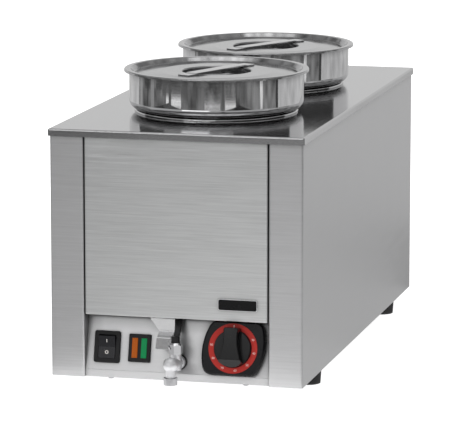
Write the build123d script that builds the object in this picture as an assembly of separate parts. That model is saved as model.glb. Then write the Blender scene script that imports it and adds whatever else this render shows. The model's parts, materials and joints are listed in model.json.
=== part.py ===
from build123d import *
import math
import os

# Counter-top electric bain marie with two lidded round pots hanging in one water tank.
# Millimetres. X to the right, Y to the back, Z up. The origin is on the table,
# midway between the four feet. The controls face -Y.

# Clearances
rest_gap = 0.3            # between parts that lift off one another
seam_gap = 0.1            # between fixed pieces that lie together
running_gap = 0.05        # radial room of a turning shaft
hole_room = 0.2           # radial room of a screw or rivet in its hole

# Pots
pot_neck_radius = 87.5    # outside of the part that hangs in the water
pot_seat = 2.0            # flat ring under the shoulder that rests on the collar
pot_shoulder = 10.0       # radius of the rounded shoulder
pot_wall_height = 34.2    # straight wall above the shoulder
pot_depth = 190.0         # rim to underside
pot_sheet = 1.0
pot_rim = 2.5             # width of the flange round the rim
pot_base_round = 12.0
pot_gap = 26.4            # between the two lids

# Lids and their strap handles
lid_overhang = 5.8        # lid flange beyond the pot's wall
lid_curl = 2.8            # edge folded down round the flange
lid_sheet = 1.0
lid_sink = 3.4            # floor round the recess, below the flange
lid_dome = 2.3            # further fall of the floor to the wall
lid_land = 2.0            # level floor beyond the strap's ends
lid_land_bend = 20.0
lid_wall_run = 4.5        # sloped wall between flange and floor, across
lid_mouth_gap = 0.15      # wall's upper edge inside the pot
recess_radius = 39.0      # finger recess
recess_depth = 11.0
strap_landing = 22.5      # strap beyond the recess at each end
strap_pad = 12.5          # flat end of the strap, welded to the lid
strap_width = 15.0
strap_sheet = 1.5
strap_rise = 0.8
strap_ramp = 4.0
strap_turns = {"front": 67.0, "rear": 62.0}

# Deck
sheet = 1.0               # stainless sheet of the casing
deck_side_margin = 39.7   # lid edge to deck edge, left and right
deck_end_margin = 78.2    # lid edge to deck edge, front and back
deck_overhang = 2.0
deck_lip = 8.0
deck_edge_round = 2.0
collar_height = 3.0       # raised ring round each hole
collar_width = 4.5
collar_round = 2.1
hole_gap = 1.0            # pot neck to hole

# Water tank
water_depth = 35.5        # pot underside to tank floor
tank_side_margin = 26.5   # hole edge to tank wall, left and right
tank_end_margin = 45.0    # hole edge to tank wall, front and back
tank_corner = 22.0
tank_floor_round = 8.0
tank_flange = 10.0
service_space = 99.0      # tank floor to the casing's bottom edge

# Casing
foot_height = 15.0
corner_bend = 2.5
pillar_return = 24.0      # depth of the fold behind each front pillar
rear_flange = 25.0
front_gap = 0.8           # shadow line between front panel and pillar
front_fold = 12.0         # side folds of the front panel
front_bend = 1.8
tray_fold = 7.0           # upturned edges of the base plate
back_screw_margin = 25.0
screw_radius = 1.75
screw_head_radius = 3.3
screw_head_height = 2.2
screw_length = 6.0

# Control panel, tilted back between a lip below and the front panel above
panel_tilt = 13.5         # degrees from upright
panel_lip = 8.5
panel_lip_recess = 3.4
panel_fold = 13.0         # top flange that lies on the front panel's lower fold
under_fold_gap = 0.6
panel_foot = 18.0         # bottom flange, under the base plate's tongue
panel_lip_bend = 1.5
panel_crease_bend = 3.0
panel_head_bend = 1.0
panel_screw_spread = 77.0
panel_screw_back = 10.0

# Controls across the panel, from left to right
control_margin_left = 9.05
switch_width = 29.5
switch_lamp_gap = 9.95
lamp_width = 25.0
lamp_tap_gap = 24.75
seal_diameter = 17.5
tap_dial_gap = 17.55
dial_width = 71.0
control_margin_right = 4.7

# Control centres, measured up the slope from the panel's crease
switch_up = 25.6
lamp_up = 25.8
tap_up = 13.0

# Rocker switch
switch_height = 35.4
bezel_sheet = 2.5
cutout_inset = 1.8        # bezel beyond the body that passes through the panel
switch_body_depth = 22.0
rocker_width = 19.0
rocker_height = 25.0
rocker_side_gap = 0.5
rocker_end_gap = 0.9
rocker_well = 11.0
rocker_throw = 8.0        # degrees either side of level
rocker_rise = 2.0
rocker_pin_radius = 1.5
rocker_pin_length = 1.5

# Pilot lamp
lamp_height = 31.0
lamp_body_depth = 18.0
lens_width = 6.5
lens_height = 22.0
lens_gap = 4.0
lens_proud = 0.6
lens_depth = 8.0

# Thermostat dial
dial_height = 59.4
dial_low_gap = 0.9
dial_top_gap = 3.9
dial_full_corner = 4.1    # upper right and lower left corners, in from the widest point
dial_slim_corner = 11.0   # upper left and lower right corners, in from the widest point
dial_bulge_up = 6.9       # widest point of the right side above the middle
dial_corner = 10.0
dial_bezel_depth = 8.5
dial_bevel = 1.8
dial_wall = 2.8
ring_margin = 0.4         # flat rim of the bezel outside the red ring
ring_width = 6.2
ring_sheet = 0.6
knob_ring_gap = 0.6
knob_lift = 0.4
knob_skirt = 4.0
knob_height = 15.5
knob_tip_width = 18.5     # grip at its pointer end
knob_waist_width = 17.5
knob_tail_width = 28.0
knob_waist_up = 5.0
knob_tail_slope = 8.0     # sloping end of the grip, opposite the pointer
knob_grip_round = 3.0
knob_grip_taper = 3.0     # degrees
knob_nose = 2.5           # pointer end of the grip beyond the skirt
knob_edge_round = 0.8
spindle_radius = 3.0
spindle_grip = 10.0       # spindle inside the knob

# Thermostat behind the panel
thermostat_width = 38.0
thermostat_height = 34.0
thermostat_depth = 24.0
bushing_radius = 5.5
bushing_length = 3.0
spindle_tail = 12.0
thermostat_screw_spread = 14.0
blade_width = 6.3
blade_sheet = 0.8
blade_length = 8.0
bulb_radius = 3.0
bulb_length = 70.0
bulb_start = 60.0         # bulb end behind the tank's front wall
capillary_radius = 0.9
capillary_bend = 8.0
capillary_lead = 20.0

# Drain tap
tap_tilt = 7.0            # degrees, nose up
tail_length = 18.0        # behind the panel
barrel_radius = 6.4
barrel_bore = 3.6
tap_collar_radius = 7.6
tap_collar_length = 5.0
seal_sheet = 2.5
stem_out = 16.0           # panel to stem, along the tap
ball_out = 38.5           # panel to elbow ball, along the tap
ball_radius = 8.2
neck_radius = 5.3
spout_drop = 22.0         # elbow ball to the nozzle's lower edge
nozzle_radius = 7.5
nozzle_height = 7.7
nozzle_socket = 3.0
nozzle_bore = 4.5
chamber_radius = 6.2
chamber_up = 10.4
chamber_floor = 1.0
plug_radius = 5.0
plug_reach = 6.4          # plug below the tap's axis
plug_bore = 3.4
plug_top_gap = 0.3
stem_radius = 2.5
bonnet_height = 12.6
bonnet_hex = 13.5         # across flats
bonnet_chamfer = 2.8
bonnet_turn = 30.0        # degrees, one corner to the front
lock_nut_width = 20.0
lock_nut_height = 5.0
lock_nut_gap = 3.0        # nut face to the panel's back, where the tail leans
union_width = 20.0
union_length = 12.0

# Tap lever
lever_width = 6.6
lever_sheet = 4.4
lever_round = 1.4
lever_lean = 50.0         # degrees from upright, towards the back
lever_head_gap = 0.8      # below the front panel
lever_hub_radius = 4.8
lever_hub_top_radius = 4.4
lever_hub_height = 7.0
lever_socket = 5.0

# Sheet guard beside the lever
guard_gap = 0.7           # guard to lever and bonnet
guard_width = 17.4
guard_top_width = 27.4
guard_back = 2.0          # behind the front panel's face
guard_fold = 11.0
guard_drop = 15.0
guard_shelf_run = 12.0
guard_shelf_fall = 5.0
guard_lip_run = 6.0
guard_lip_fall = 11.5
guard_bend = 1.5
guard_rivet_spread = 11.0
guard_rivet_margin = 6.0
rivet_radius = 1.2
rivet_head_radius = 2.2
rivet_head_height = 0.8

# Drain pipe under the tank
drain_inset = 24.0        # behind the tank's front wall
drain_bend = 22.0
drain_flange_radius = 11.0
drain_flange_sheet = 2.0

# Heating element under the tank
element_radius = 4.25
element_pitch = 50.0
element_end_margin = 75.0
element_tail = 30.0
element_pin_radius = 1.6
element_pin_length = 14.0
clamp_spread = 90.0
clamp_width = 16.0
clamp_sheet = 2.0
clamp_end = 12.0
stud_radius = 2.5
stud_end = 3.0
nut_width = 8.0
nut_height = 4.0

# Thermal cutout, terminal block and cable gland
cutout_radius = 8.5
cutout_height = 9.0
cutout_back = 110.0       # behind the tank's front wall
terminal_size = (50.0, 22.0, 18.0)
terminal_way = 3.0        # radius of a wire entry
terminal_ways = 3
terminal_from_back = 75.0
gland_side = 60.0         # left of the middle
gland_up = 45.0
gland_thread_radius = 9.9
gland_bore = 4.0
gland_hex = 24.0
gland_hex_height = 5.0
gland_cap_radius = 10.0
gland_cap_length = 14.0
gland_cap_round = 3.0
gland_tail = 12.0
gland_nut_height = 5.0

# Feet
foot_top_radius = 15.0
foot_base_radius = 14.0
foot_side_inset = 16.0
foot_end_inset = 98.0
foot_recess_radius = 5.2
foot_recess_depth = 7.0
foot_screw_radius = 2.5
foot_screw_head = 4.6
foot_screw_head_height = 3.0
foot_screw_above = 8.0

# Wiring inside the casing
wire_radius = 1.2
wire_bend = 8.0
wire_lead = 22.0          # straight run behind a switch or lamp terminal
wire_short_lead = 14.0    # straight run behind a thermostat terminal
wire_drop = 19.0          # run from a lead down to the base plate
wire_cross = 40.0         # tank front to the wire across the casing
wire_fall = 28.0          # below the tank, under the thermal cutout
wire_entry = 6.0          # inside the terminal block

# Badge plate, left plain
badge_width = 43.0
badge_height = 11.6
badge_sheet = 1.2
badge_right = 12.0
badge_up = 12.5
badge_corner = 1.8

# Derived sizes of pots, lids and deck
pot_wall_radius = pot_neck_radius + pot_seat + pot_shoulder
lid_radius = pot_wall_radius + lid_overhang
hole_radius = pot_neck_radius + hole_gap
pot_pitch = 2 * lid_radius + pot_gap
deck_width = 2 * (lid_radius + deck_side_margin)
deck_depth = pot_pitch + 2 * (lid_radius + deck_end_margin)
seat_height = collar_height + rest_gap
rim_height = seat_height + pot_shoulder + pot_wall_height
lid_height = rim_height + rest_gap + lid_sheet
tank_depth = pot_depth - rim_height + water_depth
tank_width = 2 * (hole_radius + tank_side_margin)
tank_length = pot_pitch + 2 * (hole_radius + tank_end_margin)
pot_places = {"front": -pot_pitch / 2, "rear": pot_pitch / 2}

# Derived levels and faces of the casing
body_width = deck_width - 2 * deck_overhang
body_depth = deck_depth - 2 * deck_overhang
front_y = -body_depth / 2
back_y = body_depth / 2
body_bottom = foot_height
deck_top = body_bottom + service_space + tank_depth
deck_under = deck_top - sheet
tank_floor = deck_top - tank_depth
tank_under = tank_floor - sheet
tank_front = -tank_length / 2

# Derived places on the control panel
tilt_sin = math.sin(math.radians(panel_tilt))
tilt_cos = math.cos(math.radians(panel_tilt))
panel_slope = dial_low_gap + dial_height + dial_top_gap
front_bottom = body_bottom + panel_lip + panel_slope * tilt_cos
panel_head = front_y + panel_lip_recess + panel_slope * tilt_sin
opening_half = (
    control_margin_left
    + switch_width
    + switch_lamp_gap
    + lamp_width
    + lamp_tap_gap
    + seal_diameter
    + tap_dial_gap
    + dial_width
    + control_margin_right
) / 2
switch_x = -opening_half + control_margin_left + switch_width / 2
lamp_x = switch_x + switch_width / 2 + switch_lamp_gap + lamp_width / 2
tap_x = lamp_x + lamp_width / 2 + lamp_tap_gap + seal_diameter / 2
dial_x = tap_x + seal_diameter / 2 + tap_dial_gap + dial_width / 2
dial_up = dial_low_gap + dial_height / 2
front_half = opening_half - front_gap
ring_radius = dial_height / 2 - dial_bevel - ring_margin
knob_radius = ring_radius - ring_width - knob_ring_gap
thermostat_face = -sheet - seam_gap


def panel_plane(x, up):
    """Plane on the control panel's face: x across, y up the slope, z out of the panel."""
    y = front_y + panel_lip_recess + up * tilt_sin
    z = body_bottom + panel_lip + up * tilt_cos
    return Plane(origin=(x, y, z), x_dir=(1, 0, 0), z_dir=(0, -tilt_cos, tilt_sin))


# Derived places of the tap
tap_sin = math.sin(math.radians(tap_tilt))
tap_cos = math.cos(math.radians(tap_tilt))
tap_origin = panel_plane(tap_x, tap_up).origin
tap_plane = Plane(origin=tap_origin, x_dir=(1, 0, 0), z_dir=(0, -tap_cos, tap_sin))
stem_point = tap_plane.from_local_coords(Vector(0, 0, stem_out))
ball_point = tap_plane.from_local_coords(Vector(0, 0, ball_out))
tap_lean = math.radians(panel_tilt - tap_tilt)
collar_start = seal_sheet / math.cos(tap_lean) + tap_collar_radius * math.tan(tap_lean) + seam_gap
chamber_top = stem_point.Z + chamber_up
bonnet_base = chamber_top + seam_gap
bonnet_top = bonnet_base + bonnet_height
bonnet_reach = bonnet_hex / math.sqrt(3)
nozzle_bottom = ball_point.Z - spout_drop
drain_y = tank_front + drain_inset


def cylinder_up(radius, low, high, x=0.0, y=0.0):
    """Upright cylinder between two heights."""
    return Pos(x, y, low) * extrude(Circle(radius), high - low)


def hexagon_up(width, low, high, x=0.0, y=0.0):
    """Upright hexagonal prism, given across its flats."""
    return Pos(x, y, low) * extrude(RegularPolygon(width / math.sqrt(3), 6), high - low)


def block(x_span, y_span, z_span):
    """Box between two values on each axis."""
    size = [span[1] - span[0] for span in (x_span, y_span, z_span)]
    middle = [sum(span) / 2 for span in (x_span, y_span, z_span)]
    return Pos(*middle) * Box(*size)


def bent_sheet(points, bend, thickness, side):
    """Face across a folded sheet, one side of which follows the points."""
    return make_face(offset(FilletPolyline(*points, radius=bend), amount=thickness, side=side))


def turned(profile, y=0.0):
    """Solid of revolution about a vertical axis, from a profile in radius and height."""
    return Pos(0, y, 0) * revolve(Plane.XZ * profile, Axis.Z)


def tube(path, radius):
    """Round bar along a path."""
    start = Plane(origin=path @ 0, z_dir=path % 0)
    return sweep(start * Circle(radius), path=path)


def panel_screw_places():
    """Screws up through the control panel's bottom flange into the base plate's tongue."""
    y = front_y + panel_screw_back
    return [(-panel_screw_spread, y), (panel_screw_spread, y)]


def back_screw_places():
    """Screws through the rear flanges into the back panel."""
    x = body_width / 2 - rear_flange / 2
    low = body_bottom + back_screw_margin
    high = deck_under - back_screw_margin
    return [(side * x, z) for side in (-1, 1) for z in (low, (low + high) / 2, high)]


def guard_rivet_places():
    """Rivets that hold the lever guard under the front panel."""
    right = tap_x - lever_width / 2 - guard_gap - guard_rivet_margin
    y = front_y + guard_back + guard_fold / 2 + sheet
    return [(right - step * guard_rivet_spread, y) for step in (0, 1)]


def foot_places():
    """Centres of the feet, by name."""
    x = body_width / 2 - foot_side_inset
    y = body_depth / 2 - foot_end_inset
    return {
        "front_left": (-x, -y),
        "front_right": (x, -y),
        "rear_left": (-x, y),
        "rear_right": (x, y),
    }


def clamp_stud_places():
    """Studs under the tank, between the runs of the element."""
    return [(x, y) for x in (-element_pitch, element_pitch) for y in (-clamp_spread, clamp_spread)]


def deck_plate():
    """Top sheet with its lip, two holes and the raised collars round them."""
    outer = block(
        (-deck_width / 2, deck_width / 2),
        (-deck_depth / 2, deck_depth / 2),
        (deck_top - deck_lip, deck_top),
    )
    top_edges = outer.faces().sort_by(Axis.Z)[-1].edges()
    corner_edges = outer.edges().filter_by(Axis.Z)
    outer = fillet(top_edges + corner_edges, deck_edge_round)
    inner = block(
        (-deck_width / 2 + sheet, deck_width / 2 - sheet),
        (-deck_depth / 2 + sheet, deck_depth / 2 - sheet),
        (deck_top - deck_lip, deck_under),
    )
    plate = outer - inner
    section = Pos(hole_radius + collar_width / 2, (deck_under + deck_top + collar_height) / 2)
    section = section * Rectangle(collar_width, collar_height + sheet)
    section = fillet(section.vertices().group_by(Axis.Y)[-1], collar_round)
    for y in pot_places.values():
        plate -= cylinder_up(hole_radius, deck_under, deck_top, 0, y)
        plate += turned(section, y)
    return plate


def pot(y):
    """Round pot with a shoulder that rests on the deck's collar."""
    seat = deck_top + seat_height
    rim = deck_top + rim_height
    base = rim - pot_depth
    points = [
        (0, base),
        (pot_neck_radius, base),
        (pot_neck_radius, seat),
        (pot_wall_radius, seat),
        (pot_wall_radius, rim - pot_sheet),
        (pot_wall_radius + pot_rim, rim - pot_sheet),
    ]
    bends = [pot_base_round, pot_seat / 2, pot_shoulder, pot_rim / 2]
    return turned(bent_sheet(points, bends, pot_sheet, Side.LEFT), y)


def lid(y):
    """Sunken lid with a rolled flange, a domed floor and a finger recess in its middle."""
    top = deck_top + lid_height
    floor = top - lid_sink
    mouth = pot_wall_radius - pot_sheet - lid_mouth_gap
    land = recess_radius + strap_landing + lid_land
    points = [
        (lid_radius, top - lid_curl),
        (lid_radius, top),
        (mouth, top),
        (mouth - lid_wall_run, floor - lid_dome),
        (land, floor),
        (recess_radius, floor),
        (recess_radius, floor - recess_depth),
        (0, floor - recess_depth),
    ]
    wide = lid_sheet * 3
    tight = lid_sheet * 1.5
    bends = [lid_curl / 2, tight, wide, lid_land_bend, tight, wide]
    return turned(bent_sheet(points, bends, lid_sheet, Side.LEFT), y)


def lid_handle(y, turn):
    """Flat strap across the recess, with an offset pad at each end."""
    half = recess_radius + strap_landing
    inner = half - strap_pad
    points = [
        (-half, 0),
        (-inner, 0),
        (-inner + strap_ramp, strap_rise),
        (inner - strap_ramp, strap_rise),
        (inner, 0),
        (half, 0),
    ]
    profile = bent_sheet(points, strap_sheet, strap_sheet, Side.LEFT)
    strap = extrude(Plane.XZ * profile, strap_width / 2, both=True)
    floor = deck_top + lid_height - lid_sink
    return Pos(0, y, floor) * Rot(0, 0, turn) * strap


def side_panel(side):
    """Side wall with the front pillar, its return and the rear flange folded from it."""
    x = body_width / 2
    points = [
        (opening_half, front_y + pillar_return),
        (opening_half, front_y),
        (x, front_y),
        (x, back_y),
        (x - rear_flange, back_y),
    ]
    profile = bent_sheet(points, corner_bend, sheet, Side.LEFT)
    panel = Pos(0, 0, body_bottom) * extrude(profile, deck_under - body_bottom)
    if side < 0:
        panel = mirror(panel, Plane.YZ)
    for screw_x, z in back_screw_places():
        panel -= Pos(screw_x, back_y, z) * Rot(90, 0, 0) * Cylinder(screw_radius + hole_room, 4 * sheet)
    return panel


def front_panel():
    """Front sheet between the pillars, folded back at its sides and its lower edge."""
    points = [
        (-front_half, front_y + front_fold),
        (-front_half, front_y),
        (front_half, front_y),
        (front_half, front_y + front_fold),
    ]
    profile = bent_sheet(points, front_bend, sheet, Side.LEFT)
    panel = Pos(0, 0, front_bottom) * extrude(profile, deck_under - front_bottom)
    fold = block(
        (-front_half + front_bend, front_half - front_bend),
        (front_y, panel_head - under_fold_gap),
        (front_bottom, front_bottom + sheet),
    )
    panel += fold
    lower_edge = panel.edges().filter_by(Axis.X).group_by(Axis.Z)[0].group_by(Axis.Y)[0]
    panel = fillet(lower_edge, sheet * 0.8)
    for x, y in guard_rivet_places():
        panel -= cylinder_up(rivet_radius + hole_room, front_bottom, front_bottom + sheet, x, y)
    return panel


def control_panel():
    """Tilted panel with a lip and a flange below and a flange above, cut out for the controls."""
    head = front_bottom + sheet + seam_gap
    head_y = panel_head + (head - front_bottom) * tilt_sin / tilt_cos
    lip_y = front_y + panel_lip_recess
    points = [
        (lip_y + panel_foot, body_bottom),
        (lip_y, body_bottom),
        (lip_y, body_bottom + panel_lip),
        (head_y, head),
        (head_y - panel_fold, head),
    ]
    bends = [panel_lip_bend, panel_crease_bend, panel_head_bend]
    profile = bent_sheet(points, bends, sheet, Side.RIGHT)
    half = opening_half - seam_gap
    panel = extrude(Plane.YZ * profile, half, both=True)
    fold_half = front_half - sheet - 5 * seam_gap
    for side in (-1, 1):
        ends = sorted((side * fold_half, side * (half + sheet)))
        panel -= block(ends, (front_y, panel_head + pillar_return), (front_bottom, head + 4 * sheet))
    through = 8 * sheet
    switch_hole = Box(switch_width - 2 * cutout_inset, switch_height - 2 * cutout_inset, through)
    lamp_hole = Box(lamp_width - 2 * cutout_inset, lamp_height - 2 * cutout_inset, through)
    panel -= panel_plane(switch_x, switch_up).location * switch_hole
    panel -= panel_plane(lamp_x, lamp_up).location * lamp_hole
    dial = panel_plane(dial_x, dial_up).location
    panel -= dial * Cylinder(bushing_radius + hole_room, through)
    for side in (-1, 1):
        panel -= dial * Pos(side * thermostat_screw_spread, 0) * Cylinder(screw_radius + hole_room, through)
    panel -= tap_plane.location * Cylinder(barrel_radius + 3 * hole_room, through)
    for x, y in panel_screw_places():
        panel -= cylinder_up(screw_radius + hole_room, body_bottom, body_bottom + sheet, x, y)
    for x, y in guard_rivet_places():
        panel -= cylinder_up(rivet_head_radius + hole_room, head, head + 2 * sheet, x, y)
    return panel


def panel_screws():
    """Pan-head screws under the casing's front edge."""
    screws = []
    for x, y in panel_screw_places():
        head = cylinder_up(screw_head_radius, body_bottom - screw_head_height, body_bottom, x, y)
        screws.append(head + cylinder_up(screw_radius, body_bottom, body_bottom + screw_length, x, y))
    return Compound(children=screws)


def back_face():
    """Outer face of the back panel, inside the rear flanges."""
    return back_y - sheet - seam_gap


def back_panel():
    """Rear sheet inside the side panels' flanges."""
    half = body_width / 2 - corner_bend - seam_gap
    panel = block((-half, half), (back_face() - sheet, back_face()), (body_bottom, deck_under))
    for x, z in back_screw_places():
        panel -= Pos(x, back_y, z) * Rot(90, 0, 0) * Cylinder(screw_radius + hole_room, 8 * sheet)
    hole = Cylinder(gland_thread_radius + hole_room, 8 * sheet)
    return panel - Pos(-gland_side, back_face(), body_bottom + gland_up) * Rot(90, 0, 0) * hole


def back_screws():
    """Pan-head screws that hold the back panel."""
    screws = []
    for x, z in back_screw_places():
        screw = extrude(Circle(screw_head_radius), screw_head_height)
        screw += extrude(Circle(screw_radius), -screw_length)
        screws.append(Plane(origin=(x, back_y, z), z_dir=(0, 1, 0)).location * screw)
    return Compound(children=screws)


def base_plate():
    """Bottom tray, with a tongue that steps up over the control panel's bottom flange."""
    half = body_width / 2 - sheet - seam_gap
    tongue = opening_half - seam_gap
    shoulder = front_y + pillar_return + seam_gap
    back = back_face() - sheet - seam_gap
    floor = (body_bottom, body_bottom + sheet)
    fold = (body_bottom, body_bottom + tray_fold)
    plate = block((-half, half), (shoulder, back), floor)
    step = (body_bottom + sheet + seam_gap, body_bottom + 2 * sheet + seam_gap)
    tongue_front = front_y + panel_lip_recess + 2 * panel_lip_bend
    plate += block((-tongue, tongue), (tongue_front, shoulder), step)
    plate += block((-tongue, tongue), (shoulder - sheet, shoulder), (body_bottom, step[1]))
    plate += block((-half, half), (back - sheet, back), fold)
    plate += block((-half, -half + sheet), (shoulder, back), fold)
    plate += block((half - sheet, half), (shoulder, back), fold)
    for x, y in foot_places().values():
        plate -= cylinder_up(foot_screw_radius + hole_room, *floor, x, y)
    for x, y in panel_screw_places():
        plate -= cylinder_up(screw_radius + running_gap, *step, x, y)
    return plate


def rubber_foot(x, y):
    """Tapered foot with a recess for its screw's head."""
    foot = Pos(x, y, foot_height / 2) * Cone(foot_base_radius, foot_top_radius, foot_height)
    foot -= cylinder_up(foot_screw_radius + hole_room, 0, foot_height, x, y)
    return foot - cylinder_up(foot_recess_radius, 0, foot_recess_depth, x, y)


def foot_screws():
    """Screws up through the feet and the base plate."""
    screws = []
    top = body_bottom + sheet + foot_screw_above
    for x, y in foot_places().values():
        low = foot_recess_depth - foot_screw_head_height
        screw = cylinder_up(foot_screw_head, low, foot_recess_depth, x, y)
        screws.append(screw + cylinder_up(foot_screw_radius, foot_recess_depth, top, x, y))
    return Compound(children=screws)


def foot_nuts():
    """Nuts on the foot screws, inside the casing."""
    nuts = []
    low = body_bottom + sheet
    for x, y in foot_places().values():
        nut = hexagon_up(nut_width, low, low + nut_height, x, y)
        nuts.append(nut - cylinder_up(foot_screw_radius + running_gap, low, low + nut_height, x, y))
    return Compound(children=nuts)


def water_tank():
    """Deep tank under the deck, with a flange round its top."""
    width = tank_width + 2 * sheet
    length = tank_length + 2 * sheet
    height = deck_under - tank_under
    corner = tank_corner + sheet
    outer = Pos(0, 0, tank_under) * extrude(RectangleRounded(width, length, corner), height)
    outer = fillet(outer.faces().sort_by(Axis.Z)[0].edges(), tank_floor_round + sheet)
    flange = RectangleRounded(width + 2 * tank_flange, length + 2 * tank_flange, corner + tank_flange)
    outer += Pos(0, 0, deck_under - sheet) * extrude(flange, sheet)
    inner = RectangleRounded(tank_width, tank_length, tank_corner)
    inner = Pos(0, 0, tank_floor) * extrude(inner, deck_under - tank_floor)
    inner = fillet(inner.faces().sort_by(Axis.Z)[0].edges(), tank_floor_round)
    return outer - inner - cylinder_up(barrel_bore, tank_under, tank_floor, tap_x, drain_y)


def drain_pipe():
    """Pipe from the tank's floor down and forward to the tap's tail."""
    tail = tap_plane.from_local_coords(Vector(0, 0, -tail_length - seam_gap))
    corner_z = tap_origin.Z - (drain_y - tap_origin.Y) * tap_sin / tap_cos
    points = [(tap_x, drain_y, tank_under), (tap_x, drain_y, corner_z), tuple(tail)]
    path = FilletPolyline(*points, radius=drain_bend)
    pipe = tube(path, barrel_radius)
    pipe += cylinder_up(drain_flange_radius, tank_under - drain_flange_sheet, tank_under, tap_x, drain_y)
    return pipe - tube(path, barrel_bore)


def drain_union():
    """Hexagonal sleeve nut over the joint of drain pipe and tap."""
    nut = hexagon_up(union_width, -union_length / 2, union_length / 2)
    nut -= cylinder_up(barrel_radius + running_gap, -union_length / 2, union_length / 2)
    return tap_plane.location * Pos(0, 0, -tail_length) * nut


def tap_lock_nut():
    """Nut on the tap's tail behind the control panel."""
    top = -sheet - lock_nut_gap / 2
    nut = hexagon_up(lock_nut_width, top - lock_nut_height, top)
    nut -= cylinder_up(barrel_radius + running_gap, top - lock_nut_height, top)
    return tap_plane.location * nut


def tap_seal_ring():
    """Rubber ring between the tap and the control panel."""
    ring = panel_plane(tap_x, tap_up).location * extrude(Circle(seal_diameter / 2), seal_sheet)
    return ring - tap_plane.location * Cylinder(barrel_radius + running_gap, 6 * seal_sheet)


def tap_body():
    """Cast tap: tail, collar, barrel, plug chamber and an elbow ball with its neck."""
    neck_end = nozzle_bottom + nozzle_height - nozzle_socket
    body = cylinder_up(barrel_radius, -tail_length, ball_out)
    body += cylinder_up(tap_collar_radius, collar_start, collar_start + tap_collar_length)
    body += Pos(0, 0, ball_out) * Sphere(ball_radius)
    body = tap_plane.location * body
    body += cylinder_up(neck_radius, neck_end, ball_point.Z, ball_point.X, ball_point.Y)
    bore_low = stem_point.Z - plug_reach - running_gap
    chamber_low = bore_low - chamber_floor
    body += cylinder_up(chamber_radius, chamber_low, chamber_top, stem_point.X, stem_point.Y)
    body -= tap_plane.location * cylinder_up(barrel_bore, -tail_length, ball_out)
    body -= cylinder_up(barrel_bore, neck_end, ball_point.Z, ball_point.X, ball_point.Y)
    return body - cylinder_up(
        plug_radius + running_gap, bore_low, chamber_top, stem_point.X, stem_point.Y
    )


def tap_nozzle():
    """Ring at the end of the spout, for a drain hose."""
    top = nozzle_bottom + nozzle_height
    ring = cylinder_up(nozzle_radius, nozzle_bottom, top)
    ring -= cylinder_up(nozzle_bore, nozzle_bottom, top)
    ring -= cylinder_up(neck_radius + running_gap, top - nozzle_socket - seam_gap, top)
    return Pos(ball_point.X, ball_point.Y) * ring


def tap_bonnet():
    """Tall gland nut over the plug chamber, with the stem through it."""
    blank = cylinder_up(bonnet_reach, bonnet_base, bonnet_top)
    blank = chamfer(blank.faces().sort_by(Axis.Z)[-1].edges(), bonnet_chamfer)
    bonnet = Rot(0, 0, bonnet_turn) * hexagon_up(bonnet_hex, bonnet_base, bonnet_top) & blank
    bonnet -= cylinder_up(stem_radius + running_gap, bonnet_base, bonnet_top)
    return Pos(stem_point.X, stem_point.Y) * bonnet


def tap_plug():
    """Plug with a cross bore, and the stem that turns it. Shut at rest."""
    low = stem_point.Z - plug_reach
    plug = cylinder_up(plug_radius, low, chamber_top - plug_top_gap)
    plug -= Pos(0, 0, stem_point.Z) * Rot(0, 90, 0) * Cylinder(plug_bore, 4 * plug_radius)
    plug += cylinder_up(stem_radius, chamber_top - plug_top_gap, bonnet_top + lever_socket)
    return Pos(stem_point.X, stem_point.Y) * plug


def tap_lever():
    """Black lever, cranked up and back from its hub."""
    low = bonnet_top + rest_gap
    hub = Cone(lever_hub_radius, lever_hub_top_radius, lever_hub_height)
    hub = Pos(0, 0, low + lever_hub_height / 2) * hub
    lean = math.radians(lever_lean)
    start = low + lever_hub_height / 2
    rise = front_bottom - lever_head_gap - start - lever_sheet / 2 * math.sin(lean)
    arm_plane = Plane(origin=(0, 0, start), x_dir=(1, 0, 0), z_dir=(0, math.sin(lean), math.cos(lean)))
    section = RectangleRounded(lever_width, lever_sheet, lever_round)
    lever = hub + arm_plane.location * extrude(section, rise / math.cos(lean))
    lever -= cylinder_up(stem_radius + running_gap, low, bonnet_top + lever_socket + seam_gap)
    return Pos(stem_point.X, stem_point.Y) * lever


def lever_guard():
    """Sheet bent down beside the lever and cut out round the tap, riveted under the front panel."""
    right = tap_x - lever_width / 2 - guard_gap
    top = front_bottom - seam_gap
    face = front_y + guard_back
    points = [
        (face + guard_fold, top),
        (face, top),
        (face, top - guard_drop),
        (face - guard_shelf_run, top - guard_drop - guard_shelf_fall),
        (face - guard_shelf_run - guard_lip_run, top - guard_drop - guard_shelf_fall - guard_lip_fall),
    ]
    profile = bent_sheet(points, guard_bend, sheet, Side.LEFT)
    guard = Pos(right - guard_top_width, 0, 0) * extrude(Plane.YZ * profile, guard_top_width)
    below = top - guard_drop - guard_shelf_fall - guard_lip_fall - 4 * sheet
    corner = top - 2 * sheet
    waste = Polyline(
        (right - guard_top_width, corner),
        (right - guard_width, top - guard_drop),
        (right - guard_width, below),
        (right - 2 * guard_top_width, below),
        (right - 2 * guard_top_width, corner),
        close=True,
    )
    reach = guard_shelf_run + guard_lip_run + guard_fold
    guard -= Pos(0, face, 0) * extrude(Plane.XZ * make_face(waste), 2 * reach, both=True)
    hub_top = bonnet_top + rest_gap + lever_hub_height
    stem = (stem_point.X, stem_point.Y)
    guard -= cylinder_up(bonnet_reach + guard_gap, below, bonnet_top + guard_gap, *stem)
    guard -= cylinder_up(lever_hub_radius + guard_gap, below, hub_top + guard_gap, *stem)
    for x, y in guard_rivet_places():
        guard -= cylinder_up(rivet_radius + hole_room, top - 2 * sheet, top, x, y)
    return guard


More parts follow.
